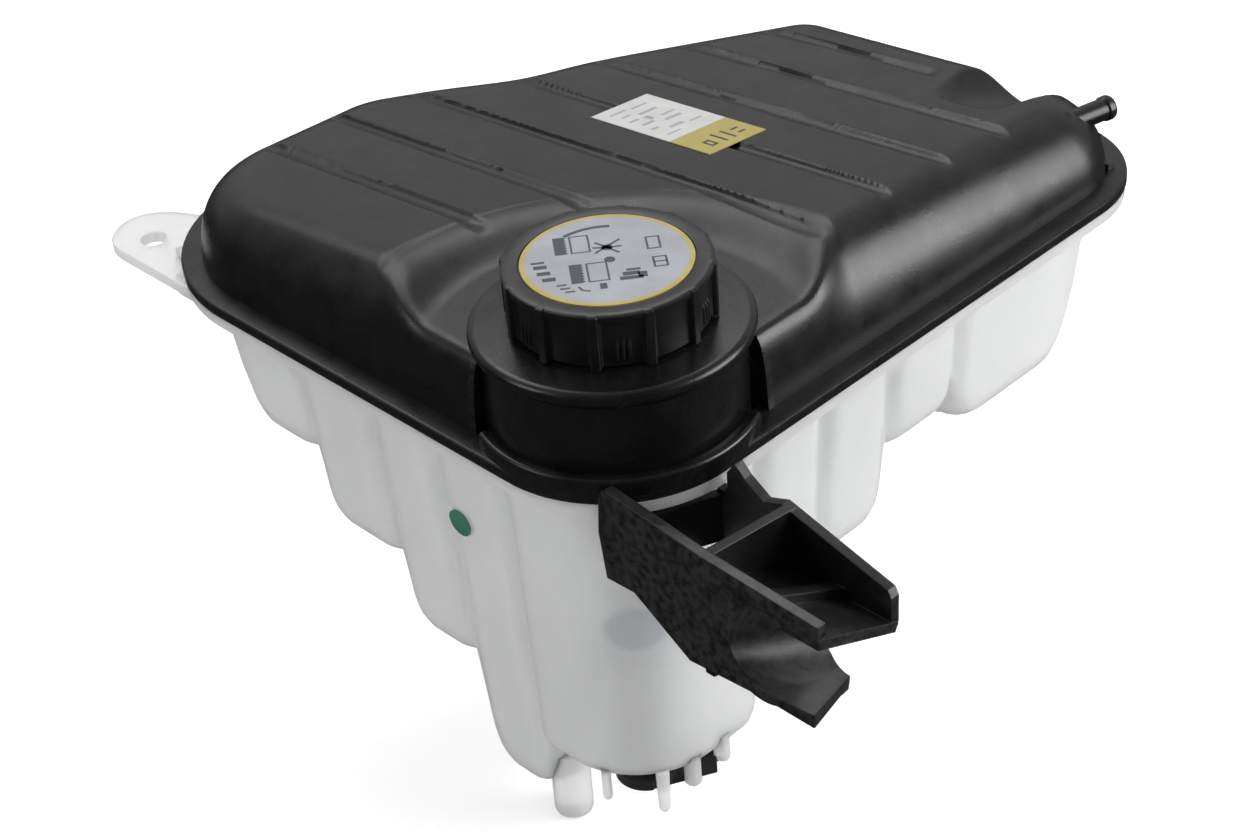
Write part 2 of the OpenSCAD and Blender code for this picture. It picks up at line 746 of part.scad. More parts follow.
upper_shell();
lower_shell();
cradle_bracket();
top_sticker();
paint_mark();
cap_grip();
cap_label();
cap_clip();
cap_core();
core_ring();
core_washer();
seal_upper();
seal_lower();
pressure_plate();
pressure_seal();
pressure_spring();
vacuum_valve();
vacuum_spring();
vacuum_keeper();
level_float();
float_magnet();
float_stop();
sensor_housing();
sensor_stem();
sensor_seal();
sensor_terminals();
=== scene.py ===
"""Looks of a coolant expansion tank: two shells, pressure cap, level sensor and cradle bracket.

Lengths are written in millimetres in the tank's own corner frame (X along the front side,
Y along the long left side, Z up from the parting line) and moved to the part's frame, whose
origin is the bolt hole of the fixing ear, when a mesh is made.
"""
import logging
import math
from dataclasses import dataclass, field
from enum import Enum
from typing import Optional, Sequence

import bpy
import numpy as np
from mathutils import Matrix


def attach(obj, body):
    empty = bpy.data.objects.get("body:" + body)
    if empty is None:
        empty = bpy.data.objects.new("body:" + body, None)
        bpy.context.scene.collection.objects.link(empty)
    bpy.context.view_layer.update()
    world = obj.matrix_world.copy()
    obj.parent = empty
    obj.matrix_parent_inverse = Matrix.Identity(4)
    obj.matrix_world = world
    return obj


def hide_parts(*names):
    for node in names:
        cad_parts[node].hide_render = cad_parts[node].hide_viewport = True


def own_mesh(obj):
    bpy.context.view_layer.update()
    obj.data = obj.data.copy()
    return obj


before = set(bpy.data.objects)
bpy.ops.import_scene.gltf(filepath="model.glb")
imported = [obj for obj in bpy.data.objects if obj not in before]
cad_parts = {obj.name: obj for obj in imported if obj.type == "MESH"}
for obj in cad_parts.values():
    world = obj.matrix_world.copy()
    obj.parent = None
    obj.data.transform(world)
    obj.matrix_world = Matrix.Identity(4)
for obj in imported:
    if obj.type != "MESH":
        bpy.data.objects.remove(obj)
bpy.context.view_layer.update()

MM = 0.001
ORIGIN = np.array([20.0, 245.0, -8.0])
NECK = np.array([43.0, 43.0])
SENSOR = np.array([30.0, 29.0])
MIDDLE = np.array([125.0, 112.0])
LEDGE = 7.0
FLANGE = 4.0
ROOF_INSET = 26.0
CUT_X = 70.0
CUT_Y = 65.0
PHOTO_WIDTH = 1248
FOCAL_PIXELS = 2500
SENSOR_WIDTH = 36.0
DUST_COLOR = (0.3, 0.29, 0.27)
log = logging.getLogger("expansion_tank")


class Body(Enum):
    """Bodies of the frame that pieces ride on."""

    TANK = "tank"
    CORE = "core"
    CAP = "cap"
    PRESSURE = "pressure_valve"


# ---- curves and surfaces ----


def smooth(t: np.ndarray) -> np.ndarray:
    """Smooth step: three t squared less two t cubed, held between 0 and 1."""
    t = np.clip(t, 0.0, 1.0)
    return t * t * (3.0 - 2.0 * t)


def blend_min(a: np.ndarray, b: np.ndarray, width: float) -> np.ndarray:
    """Lower of two heights, with the crease between them rounded.

    Args:
        a: First height.
        b: Second height.
        width: Height difference over which the crease is rounded.

    Returns:
        The minimum less a quarter of the width times the squared overlap.
    """
    h = np.clip(width - np.abs(a - b), 0.0, None) / width
    return np.minimum(a, b) - h * h * width * 0.25


@dataclass
class Shape:
    """Vertices in millimetres and faces, with one finish number per group of faces."""

    verts: np.ndarray
    faces: list = field(default_factory=list)
    finish: list = field(default_factory=list)

    def corners(self) -> list:
        """Every face as a plain list of vertex numbers."""
        return [row for f in self.faces for row in f.tolist()]

    def joined(self, *others: "Shape") -> "Shape":
        """One shape made of this one and the others."""
        verts, faces, finish, at = [], [], [], 0
        for s in (self, *others):
            verts.append(s.verts)
            faces += [f + at for f in s.faces]
            finish += list(s.finish)
            at += len(s.verts)
        return Shape(np.concatenate(verts), faces, finish)

    def painted(self, number: int) -> "Shape":
        """The shape with every face given one finish number."""
        return Shape(self.verts, self.faces, [number] * len(self.faces))


def level(p: np.ndarray, z: object) -> np.ndarray:
    """Plan points given a height, or one height each."""
    return np.column_stack([p, np.zeros(len(p)) + z])


def around(radius: object, z: object, angles: np.ndarray) -> np.ndarray:
    """Points about the neck's axis, from radii, heights and angles."""
    return np.stack([NECK[0] + radius * np.cos(angles), NECK[1] + radius * np.sin(angles), z + 0 * angles], -1)


def grid_faces(rows: int, cols: int, closed: bool) -> np.ndarray:
    """Quads of a grid: each joins a point, the next along, and the two on the next row."""
    span = cols if closed else cols - 1
    j, i = np.meshgrid(np.arange(rows - 1), np.arange(span), indexing="ij")
    k = (i + 1) % cols
    a, b = j * cols + i, j * cols + k
    return np.stack([a, b, b + cols, a + cols], -1).reshape(-1, 4)


def loft(rings: np.ndarray, low: bool = True, high: bool = True) -> Shape:
    """Skin over closed rings that run anticlockwise, the lowest or innermost first.

    Args:
        rings: Points as rows of rings, rows x points x 3.
        low: Whether the first ring is closed by one face.
        high: Whether the last ring is closed by one face.

    Returns:
        The skin with outward faces.
    """
    rows, cols = rings.shape[:2]
    faces = [grid_faces(rows, cols, True)]
    if low:
        faces.append(np.arange(cols)[::-1].reshape(1, -1))
    if high:
        faces.append(((rows - 1) * cols + np.arange(cols)).reshape(1, -1))
    return Shape(rings.reshape(-1, 3), faces, [0] * len(faces))


def lathe(profile: Sequence, centre: Sequence[float], steps: int = 96, closed: bool = False,
          sweep: tuple = (0.0, 360.0)) -> Shape:
    """Profile of radius and height turned about an upright axis.

    Args:
        profile: Points (radius, z), outer side running upwards.
        centre: The axis in plan.
        steps: Number of steps round the turn.
        closed: Whether the profile's last point joins its first.
        sweep: First and last angle in degrees; a full turn is closed.

    Returns:
        The turned surface.
    """
    p = np.asarray(profile, float)
    if closed:
        p = np.vstack([p, p[:1]])
    full = abs(sweep[1] - sweep[0]) >= 360
    a = np.radians(np.linspace(sweep[0], sweep[1], steps + 1))[: steps if full else steps + 1]
    r, z = p[:, :1], p[:, 1:]
    pts = np.stack([centre[0] + r * np.cos(a), centre[1] + r * np.sin(a), z + 0 * a], -1)
    shape = Shape(pts.reshape(-1, 3), [grid_faces(len(p), len(a), full)], [0])
    if not full and closed:
        n, m = len(a), len(p) - 1
        first, last = np.arange(m) * n, np.arange(m) * n + n - 1
        shape.faces += [first.reshape(1, -1), last[::-1].reshape(1, -1)]
        shape.finish += [0, 0]
    return shape


def rounded(points: Sequence, radius: float = 0.5, steps: int = 3, closed: bool = True) -> np.ndarray:
    """Polyline whose corners are replaced by short curves.

    Each corner P becomes the quadratic curve from a point on the side before, through P's
    pull, to a point on the side after; both lie the radius away, or under half the side.

    Args:
        points: Corners in order.
        radius: Distance cut from each side, at most.
        steps: Pieces in each corner's curve.
        closed: Whether the line is a loop; the ends of an open line stay.

    Returns:
        The points of the rounded line.
    """
    p = np.asarray(points, float)
    back, ahead = np.roll(p, 1, 0) - p, np.roll(p, -1, 0) - p
    lb, la = np.linalg.norm(back, axis=1), np.linalg.norm(ahead, axis=1)
    cut = np.minimum(radius, 0.48 * np.minimum(lb, la))[:, None]
    a, b = p + back / lb[:, None] * cut, p + ahead / la[:, None] * cut
    t = np.linspace(0, 1, steps + 1)[None, :, None]
    curve = a[:, None] * (1 - t) ** 2 + p[:, None] * 2 * t * (1 - t) + b[:, None] * t * t
    if closed:
        return curve.reshape(-1, p.shape[1])
    return np.vstack([p[:1], curve[1:-1].reshape(-1, p.shape[1]), p[-1:]])


def prism(outline: Sequence, low: float, high: float) -> Shape:
    """Outline in plan, anticlockwise, carried straight up from one height to another."""
    p = np.asarray(outline, float)
    return loft(np.stack([level(p, z) for z in (low, high)]))


def slab(low: Sequence[float], high: Sequence[float]) -> Shape:
    """Box between two corners."""
    (x0, y0, z0), (x1, y1, z1) = low, high
    return prism([(x0, y0), (x1, y0), (x1, y1), (x0, y1)], z0, z1)


def rod(start: Sequence[float], end: Sequence[float], radius: Sequence[float], steps: int = 48) -> Shape:
    """Round bar between two points, its radius given at equal or listed stations.

    Args:
        start: Centre of the first end.
        end: Centre of the last end.
        radius: Rows of (share of the length, radius).
        steps: Points round the bar.

    Returns:
        The closed bar.
    """
    s, e = np.asarray(start, float), np.asarray(end, float)
    along = (e - s) / np.linalg.norm(e - s)
    side = np.cross(along, [0.0, 0.0, 1.0] if abs(along[2]) < 0.9 else [1.0, 0.0, 0.0])
    side /= np.linalg.norm(side)
    other = np.cross(along, side)
    a = np.linspace(0, 2 * np.pi, steps, endpoint=False)
    turn = np.cos(a)[:, None] * side + np.sin(a)[:, None] * other
    rings = np.stack([s + (e - s) * t + turn * r for t, r in radius])
    return loft(rings)


def coil(centre: Sequence[float], radius: float, wire: float, low: float, high: float,
         turns: float, sides: int = 12) -> Shape:
    """Helical spring wire: a small circle carried along a helix, with near-flat end turns.

    The height along the coil is a smooth step blended with a straight rise, so the first and
    last turns close up.
    """
    n = int(turns * 40)
    t = np.linspace(0, 1, n)
    a = t * turns * 2 * np.pi
    rise = np.clip((t - 0.9 / turns) / (1 - 1.8 / turns), 0, 1)
    z = low + wire + (high - low - 2 * wire) * (0.5 * rise + 0.5 * smooth(rise))
    path = np.column_stack([centre[0] + radius * np.cos(a), centre[1] + radius * np.sin(a), z])
    tangent = np.gradient(path, axis=0)
    tangent /= np.linalg.norm(tangent, axis=1)[:, None]
    out = np.column_stack([np.cos(a), np.sin(a), 0 * a])
    up = np.cross(tangent, out)
    up /= np.linalg.norm(up, axis=1)[:, None]
    b = np.linspace(0, 2 * np.pi, sides, endpoint=False)
    c, s = np.cos(b)[None, :, None], np.sin(b)[None, :, None]
    return loft(path[:, None] + wire * (c * out[:, None] + s * up[:, None]))


# ---- finishes ----


class Nodes:
    """Short way to fill a node tree."""

    def __init__(self, tree: bpy.types.NodeTree) -> None:
        """Keeps the tree."""
        self.tree = tree

    def add(self, kind: str, inputs: Optional[dict] = None, **props: object) -> bpy.types.Node:
        """Adds a node, sets its properties, and sets or links its inputs.

        Args:
            kind: The node's type name.
            inputs: Input name or number to a value or to a socket that feeds it.
            **props: The node's own properties.

        Returns:
            The node.
        """
        node = self.tree.nodes.new(kind)
        for key, value in props.items():
            setattr(node, key, value)
        for key, value in (inputs or {}).items():
            if isinstance(value, bpy.types.NodeSocket):
                self.tree.links.new(value, node.inputs[key])
            else:
                node.inputs[key].default_value = value
        return node

    def math(self, operation: str, a: object, b: object = 0.0, clamp: bool = False) -> bpy.types.NodeSocket:
        """Result of one Math node."""
        return self.add("ShaderNodeMath", {0: a, 1: b}, operation=operation, use_clamp=clamp).outputs[0]

    def mix(self, factor: object, a: object, b: object) -> bpy.types.NodeSocket:
        """Colour between a and b."""
        node = self.add("ShaderNodeMix", {0: factor, 6: a, 7: b}, data_type="RGBA")
        return node.outputs[2]

    def ramp(self, value: object, low: float, high: float, to_low: float = 0.0,
             to_high: float = 1.0) -> bpy.types.NodeSocket:
        """Value carried from one range to another and held inside it."""
        return self.add("ShaderNodeMapRange", {0: value, 1: low, 2: high, 3: to_low, 4: to_high}).outputs[0]


def group(name: str, inputs: Sequence[tuple], outputs: Sequence[tuple]) -> tuple:
    """New shader group with named sockets.

    Args:
        name: The group's name.
        inputs: Rows of (name, socket type, default).
        outputs: Rows of (name, socket type).

    Returns:
        The tree, its Nodes helper, the input node and the output node.
    """
    tree = bpy.data.node_groups.new(name, "ShaderNodeTree")
    for label, kind, default in inputs:
        socket = tree.interface.new_socket(name=label, in_out="INPUT", socket_type=kind)
        if default is not None:
            socket.default_value = default
    for label, kind in outputs:
        tree.interface.new_socket(name=label, in_out="OUTPUT", socket_type=kind)
    return tree, Nodes(tree), tree.nodes.new("NodeGroupInput"), tree.nodes.new("NodeGroupOutput")


def grain_group() -> bpy.types.NodeTree:
    """Moulded grain: a fine and a broad noise added, as a height and as a mask."""
    tree, n, i, o = group(
        "MouldedGrain",
        [("Coordinates", "NodeSocketVector", None), ("Fine scale", "NodeSocketFloat", 2200.0),
         ("Broad scale", "NodeSocketFloat", 90.0), ("Broad share", "NodeSocketFloat", 0.5)],
        [("Height", "NodeSocketFloat"), ("Cloud", "NodeSocketFloat")])
    fine = n.add("ShaderNodeTexNoise", {
        "Vector": i.outputs[0], "Scale": i.outputs[1], "Detail": 2.0, "Roughness": 0.6})
    broad = n.add("ShaderNodeTexNoise", {
        "Vector": i.outputs[0], "Scale": i.outputs[2], "Detail": 4.0, "Roughness": 0.55})
    height = n.math("MULTIPLY_ADD", broad.outputs[0], i.outputs[3])
    n.tree.links.new(fine.outputs[0], height.node.inputs[2])
    n.tree.links.new(height, o.inputs[0])
    n.tree.links.new(n.ramp(broad.outputs[0], 0.35, 0.65), o.inputs[1])
    return tree


def dust_group() -> bpy.types.NodeTree:
    """Dust mask: how far the surface faces up, times a broken noise, times the amount."""
    tree, n, i, o = group(
        "SettledDust",
        [("Coordinates", "NodeSocketVector", None), ("Amount", "NodeSocketFloat", 0.3),
         ("Scale", "NodeSocketFloat", 60.0)],
        [("Mask", "NodeSocketFloat")])
    normal = n.add("ShaderNodeNewGeometry").outputs["Normal"]
    up = n.add("ShaderNodeSeparateXYZ", {0: normal}).outputs[2]
    facing = n.ramp(up, 0.2, 1.0)
    noise = n.add("ShaderNodeTexNoise", {
        "Vector": i.outputs[0], "Scale": i.outputs[2], "Detail": 8.0, "Roughness": 0.7})
    broken = n.ramp(noise.outputs[0], 0.38, 0.72)
    mask = n.math("MULTIPLY", n.math("MULTIPLY", facing, broken), i.outputs[1], True)
    n.tree.links.new(mask, o.inputs[0])
    return tree


def wear_group() -> bpy.types.NodeTree:
    """Edge mask: where the surface is sharper than its neighbours, broken by noise."""
    tree, n, i, o = group(
        "EdgeWear",
        [("Coordinates", "NodeSocketVector", None), ("Amount", "NodeSocketFloat", 0.3)],
        [("Mask", "NodeSocketFloat")])
    sharp = n.ramp(n.add("ShaderNodeNewGeometry").outputs["Pointiness"], 0.52, 0.6)
    noise = n.add("ShaderNodeTexNoise", {"Vector": i.outputs[0], "Scale": 400.0, "Detail": 3.0})
    broken = n.ramp(noise.outputs[0], 0.35, 0.6)
    mask = n.math("MULTIPLY", n.math("MULTIPLY", sharp, broken), i.outputs[1], True)
    n.tree.links.new(mask, o.inputs[0])
    return tree


class Groups:
    """The shared shader groups, each built once."""

    def __init__(self) -> None:
        """Builds the groups."""
        self.grain = grain_group()
        self.dust = dust_group()
        self.wear = wear_group()


def blank_material(name: str, color: Sequence[float]) -> tuple:
    """New material with an empty node tree.

    Args:
        name: The material's name.
        color: Its colour in the viewport.

    Returns:
        The material, its Nodes helper and the object coordinates' socket.
    """
    mat = bpy.data.materials.new(name)
    mat.use_nodes = True
    mat.diffuse_color = (*color, 1.0)
    mat.node_tree.nodes.clear()
    n = Nodes(mat.node_tree)
    return mat, n, n.add("ShaderNodeTexCoord").outputs["Object"]


@dataclass(frozen=True)
class Finish:
    """An opaque moulded, pressed or printed finish."""

    name: str
    color: tuple
    roughness: float = 0.45
    metallic: float = 0.0
    grain: float = 0.2
    cloud: float = 0.06
    wear: float = 0.0
    dust: float = 0.0
    edge: float = 0.0

    def build(self, groups: Groups) -> bpy.types.Material:
        """Material of this finish.

        Args:
            groups: The shared shader groups.

        Returns:
            The new material.
        """
        mat, n, coords = blank_material(self.name, self.color)
        grain = n.add("ShaderNodeGroup", {0: coords}, node_tree=groups.grain)
        color = n.mix(grain.outputs[1], (*[c * (1 - self.cloud * 2) for c in self.color], 1.0),
                      (*[min(1.0, c * (1 + self.cloud)) for c in self.color], 1.0))
        rough = n.ramp(grain.outputs[1], 0.0, 1.0, self.roughness - 0.04, self.roughness + 0.04)
        if self.wear > 0:
            worn = n.add("ShaderNodeGroup", {0: coords, 1: self.wear}, node_tree=groups.wear).outputs[0]
            light = (*[min(1.0, c * 2.2 + 0.05) for c in self.color], 1.0)
            color = n.mix(worn, color, light)
        if self.dust > 0:
            dust = n.add("ShaderNodeGroup", {0: coords, 1: self.dust}, node_tree=groups.dust).outputs[0]
            color = n.mix(dust, color, (*DUST_COLOR, 1.0))
            rough = n.math("ADD", rough, n.math("MULTIPLY", dust, 0.3), True)
        bump = {"Height": grain.outputs[0], "Strength": self.grain, "Distance": 0.0002}
        if self.edge > 0:
            bump["Normal"] = n.add("ShaderNodeBevel", {"Radius": self.edge * MM}, samples=6).outputs[0]
        normal = n.add("ShaderNodeBump", bump).outputs[0]
        shader = n.add("ShaderNodeBsdfPrincipled", {
            "Base Color": color, "Roughness": rough, "Metallic": self.metallic, "Normal": normal})
        n.add("ShaderNodeOutputMaterial", {0: shader.outputs[0]})
        return mat


@dataclass(frozen=True)
class Translucent:
    """Natural polypropylene that light passes into, with a soft shade painted into its colour where the float sits
    behind the wall.

    The painted shade has a colour and a place in metres with the height counted 1.2 times, which makes the painted
    shade wider than it is high; it is painted at a fixed place in the wall's own coordinates.
    """

    name: str
    color: tuple
    through: float = 0.45
    roughness: float = 0.28
    painted_shade: tuple = (0.66, 0.685, 0.715)
    painted_shade_at: tuple = (0.0010, -0.2266, -0.0534)

    def build(self, groups: Groups) -> bpy.types.Material:
        """Material of this finish.

        Args:
            groups: The shared shader groups.

        Returns:
            The new material.
        """
        mat, n, coords = blank_material(self.name, self.color)
        grain = n.add("ShaderNodeGroup", {0: coords, 1: 1500.0, 2: 45.0}, node_tree=groups.grain)
        color = n.mix(grain.outputs[1], (*[c * 0.97 for c in self.color], 1.0), (*self.color, 1.0))
        # Painted shade of the float: the wall's base colour darkens toward the shade colour inside a fixed ellipsoid,
        # standing in for the float seen through the wall.
        flat = n.add("ShaderNodeVectorMath", {0: coords, 1: (1.0, 1.0, 1.2)}, operation="MULTIPLY").outputs[0]
        away = n.add("ShaderNodeVectorMath", {0: flat, 1: self.painted_shade_at}, operation="DISTANCE")
        painted_shade_mask = n.add("ShaderNodeMapRange", {0: away.outputs["Value"], 1: 0.0075, 2: 0.012, 3: 1.0, 4: 0.0},
                     interpolation_type="SMOOTHSTEP").outputs[0]
        color = n.mix(painted_shade_mask, color, (*self.painted_shade, 1.0))
        normal = n.add("ShaderNodeBump", {
            "Height": grain.outputs[0], "Strength": 0.12, "Distance": 0.0002}).outputs[0]
        shader = n.add("ShaderNodeBsdfPrincipled", {
            "Base Color": color, "Roughness": self.roughness, "Normal": normal,
            "Transmission Weight": self.through, "IOR": 1.3, "Specular IOR Level": 0.45,
            "Subsurface Weight": 1.0, "Subsurface Scale": 0.012, "Subsurface Radius": (1.0, 1.0, 0.95)})
        n.add("ShaderNodeOutputMaterial", {0: shader.outputs[0]})
        return mat


class Palette:
    """Every finish of the tank, built once."""

    def __init__(self) -> None:
        """Builds the materials."""
        g = Groups()
        black = (0.0042, 0.0043, 0.0048)
        finishes = [
            Finish("shell_black", black, 0.3, grain=0.3, wear=0.25, dust=0.035, cloud=0.12),
            Finish("neck_black", black, 0.27, grain=0.2, wear=0.3, dust=0.02, cloud=0.1),
            Finish("cap_black", (0.0045, 0.0046, 0.005), 0.33, grain=0.2, wear=0.35, dust=0.04),
            Finish("bracket_black", (0.0048, 0.0049, 0.0053), 0.32, grain=0.25, wear=0.3, dust=0.04, edge=0.6),
            Finish("core_black", (0.03, 0.03, 0.032), 0.45, edge=0.3),
            Finish("seal_rubber", (0.012, 0.012, 0.012), 0.55, grain=0.1),
            Finish("stamped_steel", (0.62, 0.62, 0.64), 0.32, 1.0, grain=0.05, cloud=0.02),
            Finish("spring_wire", (0.6, 0.6, 0.62), 0.25, 1.0, grain=0.03, cloud=0.02),
            Finish("stamped_brass", (0.72, 0.52, 0.24), 0.32, 1.0, grain=0.05),
            Finish("turned_aluminium", (0.78, 0.78, 0.79), 0.28, 1.0, grain=0.04),
            Finish("washer_natural", (0.78, 0.76, 0.7), 0.4, grain=0.1),
            Finish("float_grey", (0.12, 0.14, 0.18), 0.55, grain=0.4),
            Finish("magnet_ferrite", (0.1, 0.1, 0.105), 0.5, 0.3, grain=0.3),
            Finish("stop_natural", (0.82, 0.83, 0.8), 0.4),
            Finish("sensor_black", (0.018, 0.018, 0.019), 0.42, edge=0.5),
            Finish("seal_brown", (0.3, 0.07, 0.035), 0.5),
            Finish("film_white", (0.56, 0.56, 0.55), 0.33, grain=0.03, cloud=0.03),
            Finish("film_yellow", (0.4, 0.33, 0.09), 0.35, grain=0.03, cloud=0.04),
            Finish("label_lilac", (0.33, 0.345, 0.375), 0.32, grain=0.03, cloud=0.05),
            Finish("label_yellow", (0.42, 0.34, 0.1), 0.34, grain=0.03, cloud=0.05),
            Finish("print_dark", (0.045, 0.047, 0.06), 0.45, grain=0.03, cloud=0.05),
            Finish("print_grey", (0.34, 0.34, 0.38), 0.45, grain=0.03),
            Finish("ink_green", (0.03, 0.16, 0.09), 0.5, grain=0.1, cloud=0.12),
        ]
        self.mats = {f.name: f.build(g) for f in finishes}
        # The tank's natural finish also carries the painted shade of the float.
        self.mats["tank_natural_painted_shade"] = Translucent("tank_natural_painted_shade", (0.955, 0.965, 0.955)).build(g)

    def __getitem__(self, name: str) -> bpy.types.Material:
        """The material of a finish by name."""
        return self.mats[name]


# ---- pieces ----


def linked(name: str, data: bpy.types.ID) -> bpy.types.Object:
    """New object with this data, linked into the scene."""
    obj = bpy.data.objects.new(name, data)
    bpy.context.scene.collection.objects.link(obj)
    return obj


def make(name: str, shape: Shape, mats: Sequence[bpy.types.Material], body: Body,
         stands_for: Sequence[str], sharp: float = 40.0) -> bpy.types.Object:
    """Puts a shape into the scene as a finished piece.

    Args:
        name: The piece's name.
        shape: Its surface in millimetres.
        mats: Materials, in the order of the shape's finish numbers.
        body: The body it rides on.
        stands_for: CAD nodes that it replaces.
        sharp: Edges with a greater angle stay sharp.

    Returns:
        The object.
    """
    mesh = bpy.data.meshes.new(name)
    mesh.from_pydata(((shape.verts - ORIGIN) * MM).tolist(), [], shape.corners())
    numbers = np.concatenate([np.full(len(f), k) for f, k in zip(shape.faces, shape.finish)])
    for mat in mats:
        mesh.materials.append(mat)
    mesh.polygons.foreach_set("material_index", numbers.astype(np.int32))
    mesh.validate()
    mesh.shade_smooth()
    mesh.set_sharp_from_angle(angle=math.radians(sharp))
    obj = linked(name, mesh)
    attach(obj, body.value)
    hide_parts(*stands_for)
    log.info("%s: %d vertices on %s", name, len(mesh.vertices), body.value)
    return obj


def dress(node: str, mat: bpy.types.Material) -> None:
    """Gives a CAD node's own mesh a material."""
    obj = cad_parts[node]
    if not obj.data.materials:
        obj.data.materials.append(mat)
    for s in obj.material_slots:
        s.material = mat


@dataclass
class Outline:
    """Plan of the tank: a rounded polygon whose long edges bow, inset by any distance."""

    corners: tuple = (
        (0.0, 0.0, 43.0), (265.0, 7.3, 40.0), (264.0, 165.0, 25.0), (105.0, 245.0, 40.0), (0.0, 235.0, 60.0))
    arc_steps: int = 26
    edge_steps: tuple = (190, 110, 140, 50, 165)

    def __post_init__(self) -> None:
        """Works out each corner's arc: its centre and its first and last angle."""
        c = np.array(self.corners)
        p, r = c[:, :2], c[:, 2]
        back, ahead = np.roll(p, 1, 0) - p, np.roll(p, -1, 0) - p
        back /= np.linalg.norm(back, axis=1)[:, None]
        ahead /= np.linalg.norm(ahead, axis=1)[:, None]
        half = np.arccos((back * ahead).sum(1)) / 2
        mid = back + ahead
        mid /= np.linalg.norm(mid, axis=1)[:, None]
        self.centre = p + mid * (r / np.sin(half))[:, None]
        self.heading = np.arctan2(-mid[:, 1], -mid[:, 0])
        self.swing = np.pi / 2 - half
        self.radius = r

    def arc(self, i: int, d: float) -> np.ndarray:
        """Points of corner i at inset d: its radius less d, at least 1, about a fixed centre."""
        a = self.heading[i] + np.linspace(-1, 1, self.arc_steps + 1) * self.swing[i]
        r = max(self.radius[i] - d, 1.0)
        return self.centre[i] + r * np.column_stack([np.cos(a), np.sin(a)])

    def ring(self, d: float) -> np.ndarray:
        """Points of the whole outline at inset d, anticlockwise, with the back edge's dip.

        The dip moves the back edge towards the front by 5 times the bell curve of the
        distance from x 148 over 20.
        """
        parts = []
        n = len(self.corners)
        arcs = [self.arc(i, d) for i in range(n)]
        for i in range(n):
            parts.append(arcs[i])
            t = np.arange(1, self.edge_steps[i])[:, None] / self.edge_steps[i]
            e = arcs[i][-1] + (arcs[(i + 1) % n][0] - arcs[i][-1]) * t
            dip = np.where(e[:, 1] < 150, 0.0, 5.0 * np.exp(-(((e[:, 0] - 148) / 20) ** 2)))
            parts.append(e - np.column_stack([0 * dip, dip]))
        return np.concatenate(parts)


